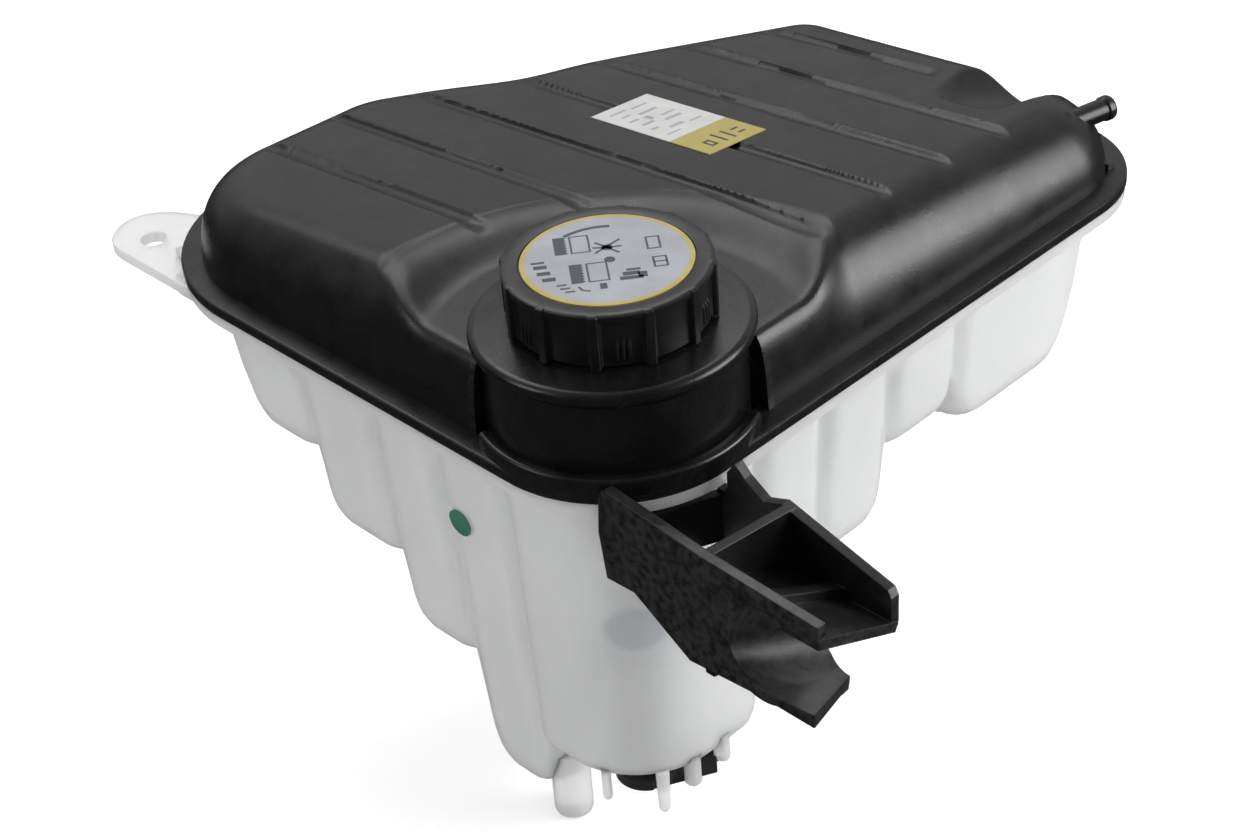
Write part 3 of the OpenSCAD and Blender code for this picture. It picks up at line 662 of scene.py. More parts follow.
@dataclass
class UpperShell:
    """Black moulded top: flange, domed roof with run-off grooves, scoop, dent and filler neck."""

    height: float = 37.5
    fall_x: float = 0.075
    fall_y: float = 0.088
    wall: float = 3.6
    barrel: float = 38.5
    collar: float = 41.4
    collar_top: float = 36.2
    neck: float = 25.4
    bore: float = 21.0
    neck_top: float = 46.5
    grooves: tuple = (
        (55, 108, 236), (85, 92, 236), (115, 20, 232), (146, 20, 212), (175, 20, 200), (204, 20, 188), (232, 78, 176))

    def top(self, p: np.ndarray) -> np.ndarray:
        """Tilted top plane: the height less a fall along X and a fall along Y."""
        return self.height - self.fall_x * (p[..., 0] - 115) - self.fall_y * (p[..., 1] - 32)

    def skin(self, p: np.ndarray, inset: np.ndarray, edge: np.ndarray, plain: bool = False) -> np.ndarray:
        """Height of the roof at plan points.

        The roof rises from the flange as the square root of one less (one less e) to the
        power 2.4, with e the inset over the shoulder's width; the scoop round the neck, the
        dent beside the nipple and the grooves are lower surfaces taken where they are less.

        Args:
            p: Plan points.
            inset: Each point's distance in from the outline.
            edge: The point of the outline that each came from.
            plain: Whether the grooves are left out.

        Returns:
            Heights above the parting line.
        """
        reach = np.linalg.norm(p - NECK, axis=-1)
        side = 20 + 8 * np.clip((70 - edge[..., 1]) / 40, 0, 1) * np.clip((edge[..., 0] - 60) / 40, 0, 1)
        width = 13 + (side - 13) * smooth((reach - 60) / 16)
        e = np.clip((inset - LEDGE) / width, 0, 1)
        z = FLANGE + (self.top(p) - FLANGE) * np.sqrt(1 - (1 - e) ** 2.4)
        if not plain:
            for x0, y0, y1 in self.grooves:
                u = np.clip(np.abs(p[..., 0] - x0) / 2.9, 0, 1)
                ends = np.clip(np.minimum(p[..., 1] - y0, y1 - p[..., 1]) / 8.0, 0, 1)
                deep = 1.6 * (1 - u ** 3) * smooth(ends)
                z = np.minimum(z, self.top(p) - deep)
        floor = 28.6 + 12 * smooth((reach - 54) / 27) + 1.2 * np.clip(reach - 76, 0, None)
        z = blend_min(z, floor, 9.0)
        across = p[..., 1] - 59
        axis = 47 - (p[..., 0] - 212) * math.tan(math.radians(21))
        hollow = axis - np.sqrt(np.clip(400 - across ** 2, 0, None)) / math.cos(math.radians(21))
        hollow = hollow + 10 * np.clip((220 - p[..., 0]) / 8, 0, None) ** 2
        hollow = hollow + 3 * np.clip(np.abs(across) - 19.5, 0, None)
        return blend_min(z, hollow, 2.0)

    def rings(self, outline: Outline, insets: Sequence[float], shrinks: Sequence[float],
              drop: float) -> np.ndarray:
        """Roof rings from the edge inwards: insets of the outline, then the last ring shrunk.

        Args:
            outline: The tank's plan.
            insets: Distances in from the plan's edge.
            shrinks: Shares of the last inset ring, about the tank's middle.
            drop: Distance under the roof's skin, which leaves the grooves out if it isn't 0.

        Returns:
            Points as rows of rings.
        """
        edge = outline.ring(0)
        out = []
        for d in insets:
            p = outline.ring(d)
            out.append(np.column_stack([p, self.skin(p, np.full(len(p), d), edge, drop > 0) - drop]))
        last = outline.ring(ROOF_INSET)
        for s in shrinks:
            p = MIDDLE + (last - MIDDLE) * s
            d = ROOF_INSET + (1 - s) * np.linalg.norm(last - MIDDLE, axis=1)
            out.append(np.column_stack([p, self.skin(p, d, edge, drop > 0) - drop]))
        return np.stack(out)

    def dome(self, outline: Outline) -> Shape:
        """Closed roof with its wall: inner skin, flange and outer skin in one loft."""
        inner = self.rings(outline, [LEDGE + 3.6, 12, 14, 17, 21, ROOF_INSET],
                           [0.9, 0.8, 0.7, 0.6, 0.5, 0.35, 0.15, 0.03], self.wall)
        inner[0, :, 2] = 0.0
        outer = self.rings(
            outline, [LEDGE, 7.1, 7.3, 7.7, 8.2, 8.8, 9.5, 10.4, 11.4, 12.5, 13.7, 15, 16.4, 18, 19.6, 21.2, 22.8,
                      24.4, ROOF_INSET], list(np.linspace(0.988, 0.02, 96)), 0.0)
        flange = [(LEDGE + 3.0, 0.0), (0.9, 0.0), (0.3, 0.15), (0.0, 0.7), (0.0, 3.1), (0.12, 3.55), (0.5, 3.9),
                  (1.0, FLANGE), (6.4, FLANGE)]
        rim = np.stack([level(outline.ring(d), z) for d, z in flange])
        return loft(np.concatenate([inner[::-1], rim, outer]))

    def cut(self, dome: Shape) -> Shape:
        """Roof with the neck's bore and the two faces beside the neck cut away by solids."""
        a = np.radians(np.linspace(-43.95, -215.9, 60))
        r = self.barrel - 1
        path = np.vstack([
            [(-5, -5), (CUT_X, -5)], NECK + r * np.column_stack([np.cos(a), np.sin(a)]), [(-5, CUT_Y)]])
        corner = prism(path, FLANGE - 0.02, 70)
        bore = lathe([(0.01, -9), (self.barrel - 3, -9), (self.barrel - 3, 60), (0.01, 60)], NECK, 96)
        result = dome
        for cutter in (corner, bore):
            a_obj, b_obj = plain_object("roof_work", result), plain_object("roof_cutter", cutter)
            mod = a_obj.modifiers.new("cut", "BOOLEAN")
            mod.operation, mod.object, mod.solver = "DIFFERENCE", b_obj, "EXACT"
            graph = bpy.context.evaluated_depsgraph_get()
            mesh = bpy.data.meshes.new_from_object(a_obj.evaluated_get(graph))
            result = read_shape(mesh)
            for o in (a_obj, b_obj):
                bpy.data.objects.remove(o)
            bpy.data.meshes.remove(mesh)
        return result

    def side_walls(self, outline: Outline) -> Shape:
        """Upright walls that close the roof at the two faces beside the neck."""
        edge = outline.ring(0)
        shape = None
        faces = (((CUT_X, 6.0), (CUT_X, 22.0), (2.4, 0.0)), ((6.0, CUT_Y), (16.0, CUT_Y), (0.0, 2.4)))
        for start, stop, thick in faces:
            p = np.linspace(start, stop, 60)
            gap = np.linalg.norm(p[:, None] - edge[None], axis=2)
            z = self.skin(p, gap.min(1), edge[gap.argmin(1)], True) - 0.08
            low = FLANGE - 3.8
            q = p + np.array(thick)
            rings = np.stack([level(p, low), level(p, z), level(q, z), level(q, low)], 1)
            wall = loft(rings if thick[0] > 0 else rings[::-1])
            shape = wall if shape is None else shape.joined(wall)
        return shape

    def neck_shape(self) -> Shape:
        """Barrel, collar and threaded tube as one turned profile."""
        c, t = self.collar, self.collar_top
        profile = [
            (self.bore, 19), (24.5, 19), (24.5, 31.4), (self.barrel - 3, 28), (self.barrel - 3, 0.2),
            (self.barrel, 0.2), (self.barrel, 30.3), (c - 0.9, 31.6), (c, 33.0), (c, t - 1.2), (c - 1.6, t),
            (self.neck, t), (self.neck, self.neck_top - 1), (self.neck - 1, self.neck_top),
            (self.bore + 0.8, self.neck_top), (self.bore, self.neck_top - 0.8)]
        body = lathe(rounded(profile, 1.3, 4), NECK, 160, True)
        return body.joined(self.thread())

    def thread(self) -> Shape:
        """Screw thread: a small trapezium carried along a helix of 6 mm pitch, with tapered ends."""
        n = 150
        t = np.linspace(0, 1, n)
        a = np.radians(40 + t * 430)
        z = 38.6 + 6.0 * t * 430 / 360 * 0.86
        high = 1.0 * np.clip(np.minimum(t, 1 - t) / 0.05, 0.02, 1)
        r0 = self.neck - 0.6
        section = [(r0 + 0 * high, -1.1), (r0 + 0.6 + high, -0.45), (r0 + 0.6 + high, 0.45), (r0 + 0 * high, 1.1)]
        rings = np.stack([around(r, z + dz, a) for r, dz in section], 1)
        return loft(rings[::-1])

    def corner_ledge(self) -> Shape:
        """Low wall that runs round the neck's corner above the flange."""
        lo = FLANGE - 1.3
        profile = [(self.barrel - 1, lo), (42.8, lo), (42.8, lo + 5.3), (42.1, lo + 6), (40.4, lo + 6),
                   (self.barrel - 1, lo + 5)]
        return lathe(rounded(profile, 0.5, 2), NECK, 72, True, (157, 298))

    def nipple(self) -> Shape:
        """Vent spigot with its root boss, hose bead and open bore."""
        yaw = math.radians(-11)
        along = np.array([math.cos(yaw), math.sin(yaw), 0.0])
        root = np.array([232.0, 30.0, 21.0])
        stations = [(-7, 5.6), (1.9, 5.6), (2.6, 5.3), (3.0, 4.9), (3.2, 3.75), (18.4, 3.75), (19.1, 4.2),
                    (21.2, 4.2), (21.8, 3.9), (22.0, 3.5), (22.0, 2.4), (21.6, 2.25), (4.0, 2.25)]
        length = 100.0
        tube = rod(root, root + along * length, [(s / length, r) for s, r in stations])
        lug = slab((240, 22, 3), (244, 31, 16))
        return tube.joined(lug, slab((243.5, 18, 3.9), (247, 30, 6.2)))

    def build(self, palette: Palette, outline: Outline) -> None:
        """Makes and dresses the shell's piece."""
        shape = self.cut(self.dome(outline))
        shape = shape.joined(self.side_walls(outline), self.neck_shape().painted(1),
                             self.corner_ledge().painted(1), self.nipple())
        make("upper_shell_look", shape, [palette["shell_black"], palette["neck_black"]], Body.TANK,
             ["upper_shell"], 32)


def plain_object(name: str, shape: Shape) -> bpy.types.Object:
    """Bare mesh object in millimetres, for cutting only."""
    mesh = bpy.data.meshes.new(name)
    mesh.from_pydata(shape.verts.tolist(), [], shape.corners())
    return linked(name, mesh)


def read_shape(mesh: bpy.types.Mesh) -> Shape:
    """Reads a mesh back into arrays, its faces grouped by their number of corners."""
    verts = np.empty(len(mesh.vertices) * 3)
    mesh.vertices.foreach_get("co", verts)
    loops = np.empty(len(mesh.loops), np.int32)
    mesh.loops.foreach_get("vertex_index", loops)
    start = np.empty(len(mesh.polygons), np.int32)
    mesh.polygons.foreach_get("loop_start", start)
    total = np.empty(len(mesh.polygons), np.int32)
    mesh.polygons.foreach_get("loop_total", total)
    faces = [loops[start[total == k][:, None] + np.arange(k)] for k in np.unique(total)]
    return Shape(verts.reshape(-1, 3), faces, [0] * len(faces))


@dataclass
class LowerShell:
    """Translucent chambered body with its flange, fixing ear, foot, pegs, outlet and sensor tower."""

    wall: float = 2.6
    draft: float = 0.07
    neck_depth: float = 116.0
    deep: float = 146.0
    right: float = 61.0
    foot_radius: float = 6.4

    def depth(self, p: np.ndarray) -> np.ndarray:
        """Depth of the wall below the parting line, chamber by chamber.

        Each step between two chambers is the square root of one less (one less t) to the
        power 2.4, with t the distance past the step over its width.
        """
        def step(t: np.ndarray) -> np.ndarray:
            """Rounded rise from 0 to 1."""
            return np.sqrt(1 - (1 - np.clip(t, 0, 1)) ** 2.4)

        x, y = p[:, 0], p[:, 1]
        left = np.select(
            [y > 190, y > 157, y > 121.5, y > 91.5, y > 74],
            [0 * y + 10, 10 + 41 * step((190 - y) / 13), 51 + 26 * step((157 - y) / 13),
             77 + 26 * step((121.5 - y) / 13), 103 + (self.deep - 103) * step((91.5 - y) / 13)],
            self.neck_depth + (self.deep - self.neck_depth) * step((y - 60) / 13))
        front = np.select(
            [x > 226, x > 163, x > 130, x > 98, x > 68],
            [0 * x + 10,
             np.minimum(10 + (self.right - 10) * step((226 - x) / 15),
                        42 + (self.right - 42) * step((x - 163) / 20)),
             42 + 7 * step((163 - x) / 12), 48 + 26 * step((130 - x) / 13), 74 + 18 * step((98 - x) / 10)],
            92 + (self.neck_depth - 92) * step((68 - x) / 10))
        on_left = y > x
        return np.where(on_left, np.where(x < 60, left, 10.0), np.where(y < 60, front, 10.0))

    def flute(self, p: np.ndarray) -> np.ndarray:
        """Depth of the valley between two chambers: 4 times a bell curve 4 mm wide."""
        def valley(t: np.ndarray, at: Sequence[float]) -> np.ndarray:
            """The deepest of the valleys at these places along an edge."""
            return np.max([4 * np.exp(-(((t - v) / 4) ** 2)) for v in at], axis=0)

        left = np.where((p[:, 0] < 20) & (p[:, 1] > 50), valley(p[:, 1], (60, 91.5, 121.5, 157)), 0.0)
        return np.where((p[:, 1] < 20) & (p[:, 0] > 50), valley(p[:, 0], (68, 98, 130, 163)), left)

    def wall_rings(self, outline: Outline) -> np.ndarray:
        """Rings of the outer skin from the floor's middle out and up to the flange."""
        base, out, far = outline.ring(LEDGE + 0.5), outline.ring(0), outline.ring(10)
        inward = (far - out) / 10
        dp = self.depth(base)
        near = (base[:, 0] < 66) & (base[:, 1] < 58)
        r = np.minimum(np.where(near, 8.0, 11.0), dp * 0.45)
        slope = np.where(near, self.draft * 0.5, self.draft)

        def ring(t: float, a: float) -> np.ndarray:
            """Ring at a share of the straight wall's depth, or at an angle round the foot."""
            foot = 1.0 if t == 1 else 0.0
            z = -(dp - r) * t - r * math.sin(math.radians(90 - a)) * foot
            s = self.flute(base) * (1 - 0.3 * t) - slope * z + foot * r * (1 - math.cos(math.radians(90 - a)))
            return np.column_stack([base + inward * s[:, None], np.minimum(z, -2)])

        wall = [ring(1, a) for a in (0, 12, 25, 38, 50, 62, 76, 90)]
        wall += [ring(t, 90) for t in np.linspace(0.94, 0.02, 15)]
        bed = ring(1, 0)
        floor = []
        for s, mix in ((0.2, 1), (0.35, 1), (0.45, 1), (0.5, 0.98), (0.53, 0.9), (0.56, 0.75), (0.6, 0.5),
                       (0.64, 0.28), (0.68, 0.1), (0.72, 0.02), (0.76, 0), (0.84, 0), (0.92, 0), (0.96, 0)):
            floor.append(level(MIDDLE + (bed[:, :2] - MIDDLE) * s, bed[:, 2] + (-38 - bed[:, 2]) * mix))
        return np.stack(floor + wall)

    def skin(self, outline: Outline) -> Shape:
        """Outer skin, flange and inner skin, the inner one set in along the surface's normals."""
        rings = self.wall_rings(outline)
        along = np.roll(rings, -1, 1) - np.roll(rings, 1, 1)
        up = np.empty_like(rings)
        up[1:-1] = rings[2:] - rings[:-2]
        up[0], up[-1] = rings[1] - rings[0], rings[-1] - rings[-2]
        normal = np.cross(along, up)
        normal /= np.linalg.norm(normal, axis=2)[..., None]
        inner = rings - self.wall * normal
        top = inner[-1].copy()
        top[:, 2] = -0.3
        rim = [(LEDGE + 0.7, -4.0), (0.8, -4.0), (0.5, -3.85), (0.4, -3.5), (0.4, -0.6), (0.5, -0.25), (0.8, -0.1),
               (LEDGE + 2, -0.1)]
        band = np.stack([level(outline.ring(d), z) for d, z in rim])
        return loft(np.concatenate([rings, band, top[None], inner[::-1]]))

    def ear(self) -> Shape:
        """Flat fixing ear with its bolt hole and the small gusset under it."""
        path = rounded([(40, 200), (52, 226), (40, 246), (35, 256), (29, 261.5), (22, 263.4), (15, 261), (10, 256),
                        (8, 250), (8, 202), (11, 196)], 3, 4)
        a = np.linspace(0, 2 * np.pi, 64, endpoint=False)
        centre = ORIGIN[:2]
        hole = centre + 4.25 * np.column_stack([np.cos(a), np.sin(a)])
        wide = ring_at(path, centre, a)
        inset, mouth = centre + (wide - centre) * 0.985, centre + (hole - centre) * 1.08
        plate = loft(np.stack([
            level(hole, -7.6), level(mouth, -8), level(inset, -8), level(wide, -7.6), level(wide, -4.4),
            level(inset, -4), level(mouth, -4), level(hole, -4.4), level(hole, -7.6)]), False, False)
        return plate.joined(slab((18, 205, -7), (42, 229, -1)), slab((12, 200, -13), (14.4, 222, -7)))

    def fittings(self) -> Shape:
        """Foot boss, location pegs, outlet spigot, stakes and the sensor's tower."""
        f = self.foot_radius
        foot = rod((28, 64, -130), (28, 64, -156), [(0, f), (0.93, f), (0.975, f - 0.3), (1, f - 1.0)], 64)
        pegs = [rod((16, 32.5, -110), (16, 32.5, -124), [(0, 1.5), (0.92, 1.5), (1, 1.0)], 24),
                rod((26.5, 18.3, -111.5), (26.5, 18.3, -127.5), [(0, 2.2), (0.93, 1.75), (1, 1.2)], 24),
                rod((36.8, 15.6, -109.5), (36.8, 15.6, -121.5), [(0, 2.7), (0.93, 2.7), (1, 2.1)], 32),
                rod((48.6, 14.4, -108.5), (48.6, 14.4, -118.5), [(0, 2.6), (0.93, 2.6), (1, 2.0)], 32)]
        outlet = rod((45, 80, -126), (98, 80, -126), [
            (0, 9.5), (0.86, 9.5), (0.88, 10.1), (0.93, 10.1), (0.96, 9.6), (0.99, 9.1), (1, 8.6), (1, 7.4),
            (0.2, 7.3)], 64)
        stakes = [rod((x, y, -27), (x, -4, -27), [(0, 2.5), (0.96, 2.5), (1, 2.0)], 32)
                  for x, y in ((17, 20.5), (33, 12))]
        tower = lathe([(4.2, -114.4), (8, -114.4), (8, -69.0), (5.5, -68.9), (5.5, -47.4), (5.1, -47), (0.1, -47),
                       (0.1, -49.2), (4.2, -49.2)], SENSOR, 64)
        return foot.joined(*pegs, outlet, *stakes, tower)

    def build(self, palette: Palette) -> None:
        """Makes and dresses the shell's piece."""
        outline = Outline(arc_steps=22, edge_steps=(170, 40, 60, 20, 150))
        shape = self.skin(outline).joined(self.ear(), self.fittings())
        make("lower_shell_look", shape, [palette["tank_natural_painted_shade"]], Body.TANK, ["lower_shell"], 40)


def ring_at(path: np.ndarray, centre: np.ndarray, angles: np.ndarray) -> np.ndarray:
    """Where rays from a centre first meet a closed outline.

    Each ray solves for the crossing with every side and keeps the one inside that side.

    Args:
        path: The outline's points.
        centre: The rays' start.
        angles: The rays' headings in radians.

    Returns:
        One point per ray.
    """
    a, b = path, np.roll(path, -1, 0)
    e = b - a
    d = np.column_stack([np.cos(angles), np.sin(angles)])
    w = a - centre
    den = d[:, None, 0] * e[None, :, 1] - d[:, None, 1] * e[None, :, 0]
    den = np.where(np.abs(den) < 1e-9, 1e-9, den)
    t = (w[None, :, 0] * e[None, :, 1] - w[None, :, 1] * e[None, :, 0]) / den
    u = (w[None, :, 0] * d[:, None, 1] - w[None, :, 1] * d[:, None, 0]) / den
    ok = (t > 0) & (u >= -1e-6) & (u <= 1 + 1e-6)
    reach = np.where(ok, t, np.inf).min(1)
    return centre + d * reach[:, None]


@dataclass
class PressureCap:
    """Screw cap: ribbed grip, printed label, and the valve carrier's springs."""

    low: float = 37.0
    top: float = 54.4
    grip: float = 31.0
    panel: float = 28.9
    label: float = 24.7
    turn: float = 8.0

    def grip_shape(self) -> Shape:
        """Grip whose radius is a function of angle and height.

        The panel radius swells to the grip radius over twelve ribs, each a steep-sided
        bump in angle, and over the top band; every second panel carries three small ribs,
        and the lower edge rises a little between ribs.
        """
        n = 1080
        a = np.linspace(0, 2 * np.pi, n, endpoint=False)
        h = self.top - self.low
        v = np.concatenate([np.linspace(0, 0.12, 5), np.linspace(0.16, 0.8, 13), np.linspace(0.83, 0.97, 9)])
        phase = np.mod(np.degrees(a) - self.turn, 30.0)
        off = np.minimum(phase, 30 - phase)
        sector = np.floor(np.mod(np.degrees(a) - self.turn, 360.0) / 30).astype(int) % 2
        arc = np.radians(off) * self.panel
        rib = 1 / (1 + (arc / 1.5) ** 10)
        small = np.zeros(n)
        for k in (-1, 0, 1):
            small = np.maximum(small, 1 / (1 + ((np.radians(phase - 15) * self.panel - 1.7 * k) / 0.45) ** 6))
        small = small * sector
        vv, rr = np.meshgrid(v, rib, indexing="ij")
        band = smooth((vv - 0.84) / 0.05)
        full = self.grip - self.panel - 0.25
        bulge = full * np.maximum(rr, band * 0.72)
        bulge += 0.65 * small[None, :] * smooth((vv - 0.1) / 0.05) * smooth((0.5 - vv) / 0.05)
        r = self.panel + bulge
        scallop = 0.7 * (1 - rib)[None, :] * np.clip(1 - vv / 0.12, 0, 1)
        z = self.low + vv * h + scallop
        side = around(r, z, a)
        edge = [around(self.panel + full * np.maximum(rib, 0.72) - less, self.low + share * h, a)
                for less, share in ((0.25, 0.98), (0.7, 0.992), (1.3, 0.999), (2.2, 1.0))]
        edge += [around(radius, height, a) for radius, height in (
            (28.0, self.top), (self.label + 0.75, self.top), (self.label + 0.45, self.top - 0.1),
            (self.label + 0.35, self.top - 0.6), (0.3, self.top - 0.6))]
        inside = [around(radius, height, a) for radius, height in (
            (8.06, 53.0), (8.06, 50.4), (10.6, 50.4), (10.6, 51.8), (13.0, 51.8), (26.9, 51.8), (27.4, 51.2),
            (27.4, self.low + 0.3))]
        first = side[0].copy()
        first[:, :2] = NECK + (first[:, :2] - NECK) * (1 - 0.4 / self.panel)
        first[:, 2] -= 0.05
        low = first.copy()
        low[:, :2] = NECK + (first[:, :2] - NECK) * (27.7 / np.linalg.norm(first[:, :2] - NECK, axis=1))[:, None]
        return loft(np.concatenate([np.stack(inside), low[None], first[None], side, np.stack(edge)]))

    def mark(self, outline: Sequence, number: int) -> Shape:
        """Flat printed field on the label, from plan points about the cap's axis."""
        p = np.asarray(outline, float) + NECK
        rings = np.stack([level(p, self.top + 0.11 + k) for k in (-0.06, 0.0)])
        return loft(rings, False, True).painted(number)

    def label_shape(self) -> Shape:
        """Label: a yellow ring round a pale disc, with plain printed marks on it."""
        z = self.top + 0.1
        disc = lathe([(self.label, z - 0.7), (self.label, z - 0.06), (self.label - 0.06, z), (23.2, z)], NECK, 160)
        face = lathe([(23.2, z), (12.0, z), (0.01, z)], NECK, 160).painted(1)
        shape = disc.joined(face)
        for points, number in self.marks():
            shape = shape.joined(self.mark(points, number))
        return shape

    def marks(self) -> list:
        """Printed fields as (points about the axis, finish number), in the cap's own plan.

        The label's own axes run along the camera's right and away from it, so the fields
        are laid out there and turned into the plan.
        """
        c, s = math.cos(math.radians(-38)), math.sin(math.radians(-38))

        def place(p: Sequence) -> np.ndarray:
            """Points turned from the label's axes into the plan."""
            q = np.asarray(p, float)
            return np.column_stack([q[:, 0] * c - q[:, 1] * s, q[:, 0] * s + q[:, 1] * c])

        def rect(x0: float, y0: float, x1: float, y1: float) -> list:
            """Corners of an upright rectangle."""
            return [(x0, y0), (x1, y0), (x1, y1), (x0, y1)]

        def comb(x0: float, y0: float, x1: float, y1: float, teeth: int) -> list:
            """Block whose right side is a row of teeth."""
            ys = np.linspace(y0, y1, teeth * 2 + 1)
            xs = np.where(np.arange(teeth * 2 + 1) % 2, x1, x1 - 0.7)
            return [(x0, y1), (x0, y0)] + list(zip(xs.tolist(), ys.tolist()))

        def band(points: Sequence, width: float) -> list:
            """Strip of one width along a line of points."""
            p = np.asarray(points, float)
            along = np.gradient(p, axis=0)
            along /= np.linalg.norm(along, axis=1)[:, None]
            side = np.column_stack([-along[:, 1], along[:, 0]]) * width / 2
            return (p + side).tolist() + (p - side)[::-1].tolist()

        def ring(cx: float, cy: float, r: float, sides: int, start: float = 90.0) -> list:
            """Corners of a regular polygon."""
            k = np.radians(start + np.arange(sides) * 360 / sides)
            return np.column_stack([cx + r * np.cos(k), cy + r * np.sin(k)]).tolist()

        def frame_of(x0: float, y0: float, x1: float, y1: float, w: float) -> list:
            """Four bars that frame a rectangle."""
            return [rect(x0, y0, x1, y0 + w), rect(x0, y1 - w, x1, y1), rect(x0, y0 + w, x0 + w, y1 - w),
                    rect(x1 - w, y0 + w, x1, y1 - w)]

        t = np.linspace(np.radians(82), np.radians(126), 24)
        arc = np.column_stack([18.6 * np.cos(t), 18.6 * np.sin(t) - 0.6])
        dark = [band(arc, 1.3), comb(-14.2, 4.6, -10.4, 14.2, 7), comb(-11.0, -11.6, -7.0, -1.4, 7),
                ring(0.7, -0.6, 1.6, 20)]
        dark += frame_of(-9.7, 4.6, -4.0, 14.2, 0.55) + frame_of(-6.3, -11.6, -0.2, -1.4, 0.55)
        dark += [band([(-3.0, 3.4), (-0.6, 5.6), (4.6, 10.0)], 0.8), band([(-2.6, 9.4), (0.4, 6.4), (3.8, 2.6)], 0.8),
                 band([(-3.4, 6.6), (0.4, 6.0), (4.8, 6.2)], 0.8), ring(0.6, 6.1, 1.7, 8, 22)]
        dark += [rect(2.4, -12.4, 9.0, -10.6), rect(3.4, -10.2, 8.2, -8.2), rect(4.6, -7.8, 8.6, -6.6),
                 rect(7.6, -11.8, 10.2, -8.8)]
        dark += frame_of(11.6, 2.6, 15.8, 9.6, 0.6) + frame_of(12.4, -7.4, 16.6, -1.6, 0.6)
        dark += [rect(12.4, -4.8, 16.6, -4.2)]
        for x, y, w in ((-19.4, 1.6, 1.1), (-18.9, -0.9, 1.9), (-18.2, -4.4, 1.9), (-17.0, -7.9, 1.9)):
            dark.append(rect(x - 1.9, y - w / 2, x + 1.9, y + w / 2))
        dark += [rect(-15.2, -12.0, -12.4, -11.2), rect(-14.4, -13.9, -11.6, -13.1), rect(-13.2, -15.8, -10.4, -15.0)]
        dark += [band([(-9.2, -13.4), (-8.4, -15.4), (-6.2, -16.2)], 0.7), rect(-3.4, -15.8, -1.4, -12.8)]
        rows = [(p, 2) for p in dark]
        rows += [(rect(-9.0 + k * 1.25, 6.0, -8.6 + k * 1.25, 13.0), 3) for k in range(4)]
        rows += [(rect(-3.2, 11.4, 1.6, 14.8), 3)]
        return [(place(p), number) for p, number in rows]

    def build(self, palette: Palette) -> None:
        """Makes and dresses the cap's pieces."""
        make("cap_grip_look", self.grip_shape(), [palette["cap_black"]], Body.CAP, ["cap_grip"], 38)
        make("cap_label_look", self.label_shape(),
             [palette["label_yellow"], palette["label_lilac"], palette["print_dark"], palette["print_grey"]],
             Body.CAP, ["cap_label"], 40)
        springs = (
            ("pressure_spring", Body.CORE, coil(NECK, 13.1, 0.95, 34.65, 44.2, 3.6), "pressure_lift", 44.2, 0.686),
            ("vacuum_spring", Body.PRESSURE, coil(NECK, 3.4, 0.3, 35.4, 39.0, 4.5), "vacuum_drop", 35.4, 0.65))
        for node, body, shape, joint, seat, keep in springs:
            piece = make(f"{node}_look", shape, [palette["spring_wire"]], body, [node])
            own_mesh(piece)
        for node, finish in (("cap_core", "core_black"), ("cap_clip", "stamped_steel"),
                             ("core_ring", "stamped_steel"), ("core_washer", "washer_natural"),
                             ("seal_upper", "seal_rubber"), ("seal_lower", "seal_rubber"),
                             ("pressure_plate", "stamped_brass"), ("pressure_seal", "seal_rubber"),
                             ("vacuum_valve", "turned_aluminium"), ("vacuum_keeper", "turned_aluminium")):
            dress(node, palette[finish])


@dataclass
class Marks:
    """Sticker on the roof and the ink dot on the side."""

    centre: tuple = (148.0, 121.0)
    size: tuple = (26.0, 55.0)

    def build(self, palette: Palette, upper: UpperShell) -> None:
        """Makes and dresses the two marks."""
        wide, long = self.size

        def patch(x0: float, y0: float, x1: float, y1: float, low: float, high: float, number: int) -> Shape:
            """Rectangle that lies on the roof, between two heights over it."""
            p = np.array([(x0, y1), (x0, y0), (x1, y0), (x1, y1)]) + np.array(self.centre)
            rings = np.stack([level(p, upper.top(p) + k) for k in (low, high)])
            return loft(rings, False, True).painted(number)

        third = -long / 2 + long * 0.33
        shape = patch(-wide / 2, third, wide / 2, long / 2, -0.1, 0.22, 0)
        shape = shape.joined(patch(-wide / 2, -long / 2, wide / 2, third, -0.1, 0.22, 1))
        grey = ((-9, 22, -2, 23), (0, 21, 7, 22.2), (-8, 17.5, -4, 18.4), (-2, 15, 6, 16.6), (-9, 12.5, -5, 13.6),
                (-3, 9.5, -1, 13), (2, 9, 8, 10), (-8, 7, -3, 8.6), (0, 4.5, 7, 6.2), (-9, 2, -6, 3.4),
                (-4, -1.5, 2, 0.2), (4, -2.5, 9, -1.6), (-9, -5, -3, -4.2))
        dark = ((-7.5, -23.5, -4.5, -22.5), (-7.5, -19.5, -4.5, -18.5), (-7.5, -22.5, -6.7, -19.5),
                (-5.3, -22.5, -4.5, -19.5), (-1.5, -24, -0.5, -16), (2.5, -24, 3.4, -16.5), (6, -22.5, 9, -21.5),
                (6, -19, 9, -18))
        for rows, number in ((grey, 2), (dark, 3)):
            for x0, y0, x1, y1 in rows:
                shape = shape.joined(patch(x0, y0, x1, y1, 0.2, 0.27, number))
        make("top_sticker_look", shape,
             [palette["film_white"], palette["film_yellow"], palette["print_grey"], palette["print_dark"]],
             Body.TANK, ["top_sticker"])
        dress("paint_mark", palette["ink_green"])


class Fixtures:
    """Cradle bracket and the level sensor's pieces."""

    def build(self, palette: Palette) -> None:
        """Dresses the CAD nodes of the bracket and the sensor."""
        for node, finish in (("cradle_bracket", "bracket_black"), ("level_float", "float_grey"),
                             ("float_magnet", "magnet_ferrite"), ("float_stop", "stop_natural"),
                             ("sensor_housing", "sensor_black"), ("sensor_stem", "core_black"),
                             ("sensor_seal", "seal_brown"), ("sensor_terminals", "stamped_brass")):
            dress(node, palette[finish])


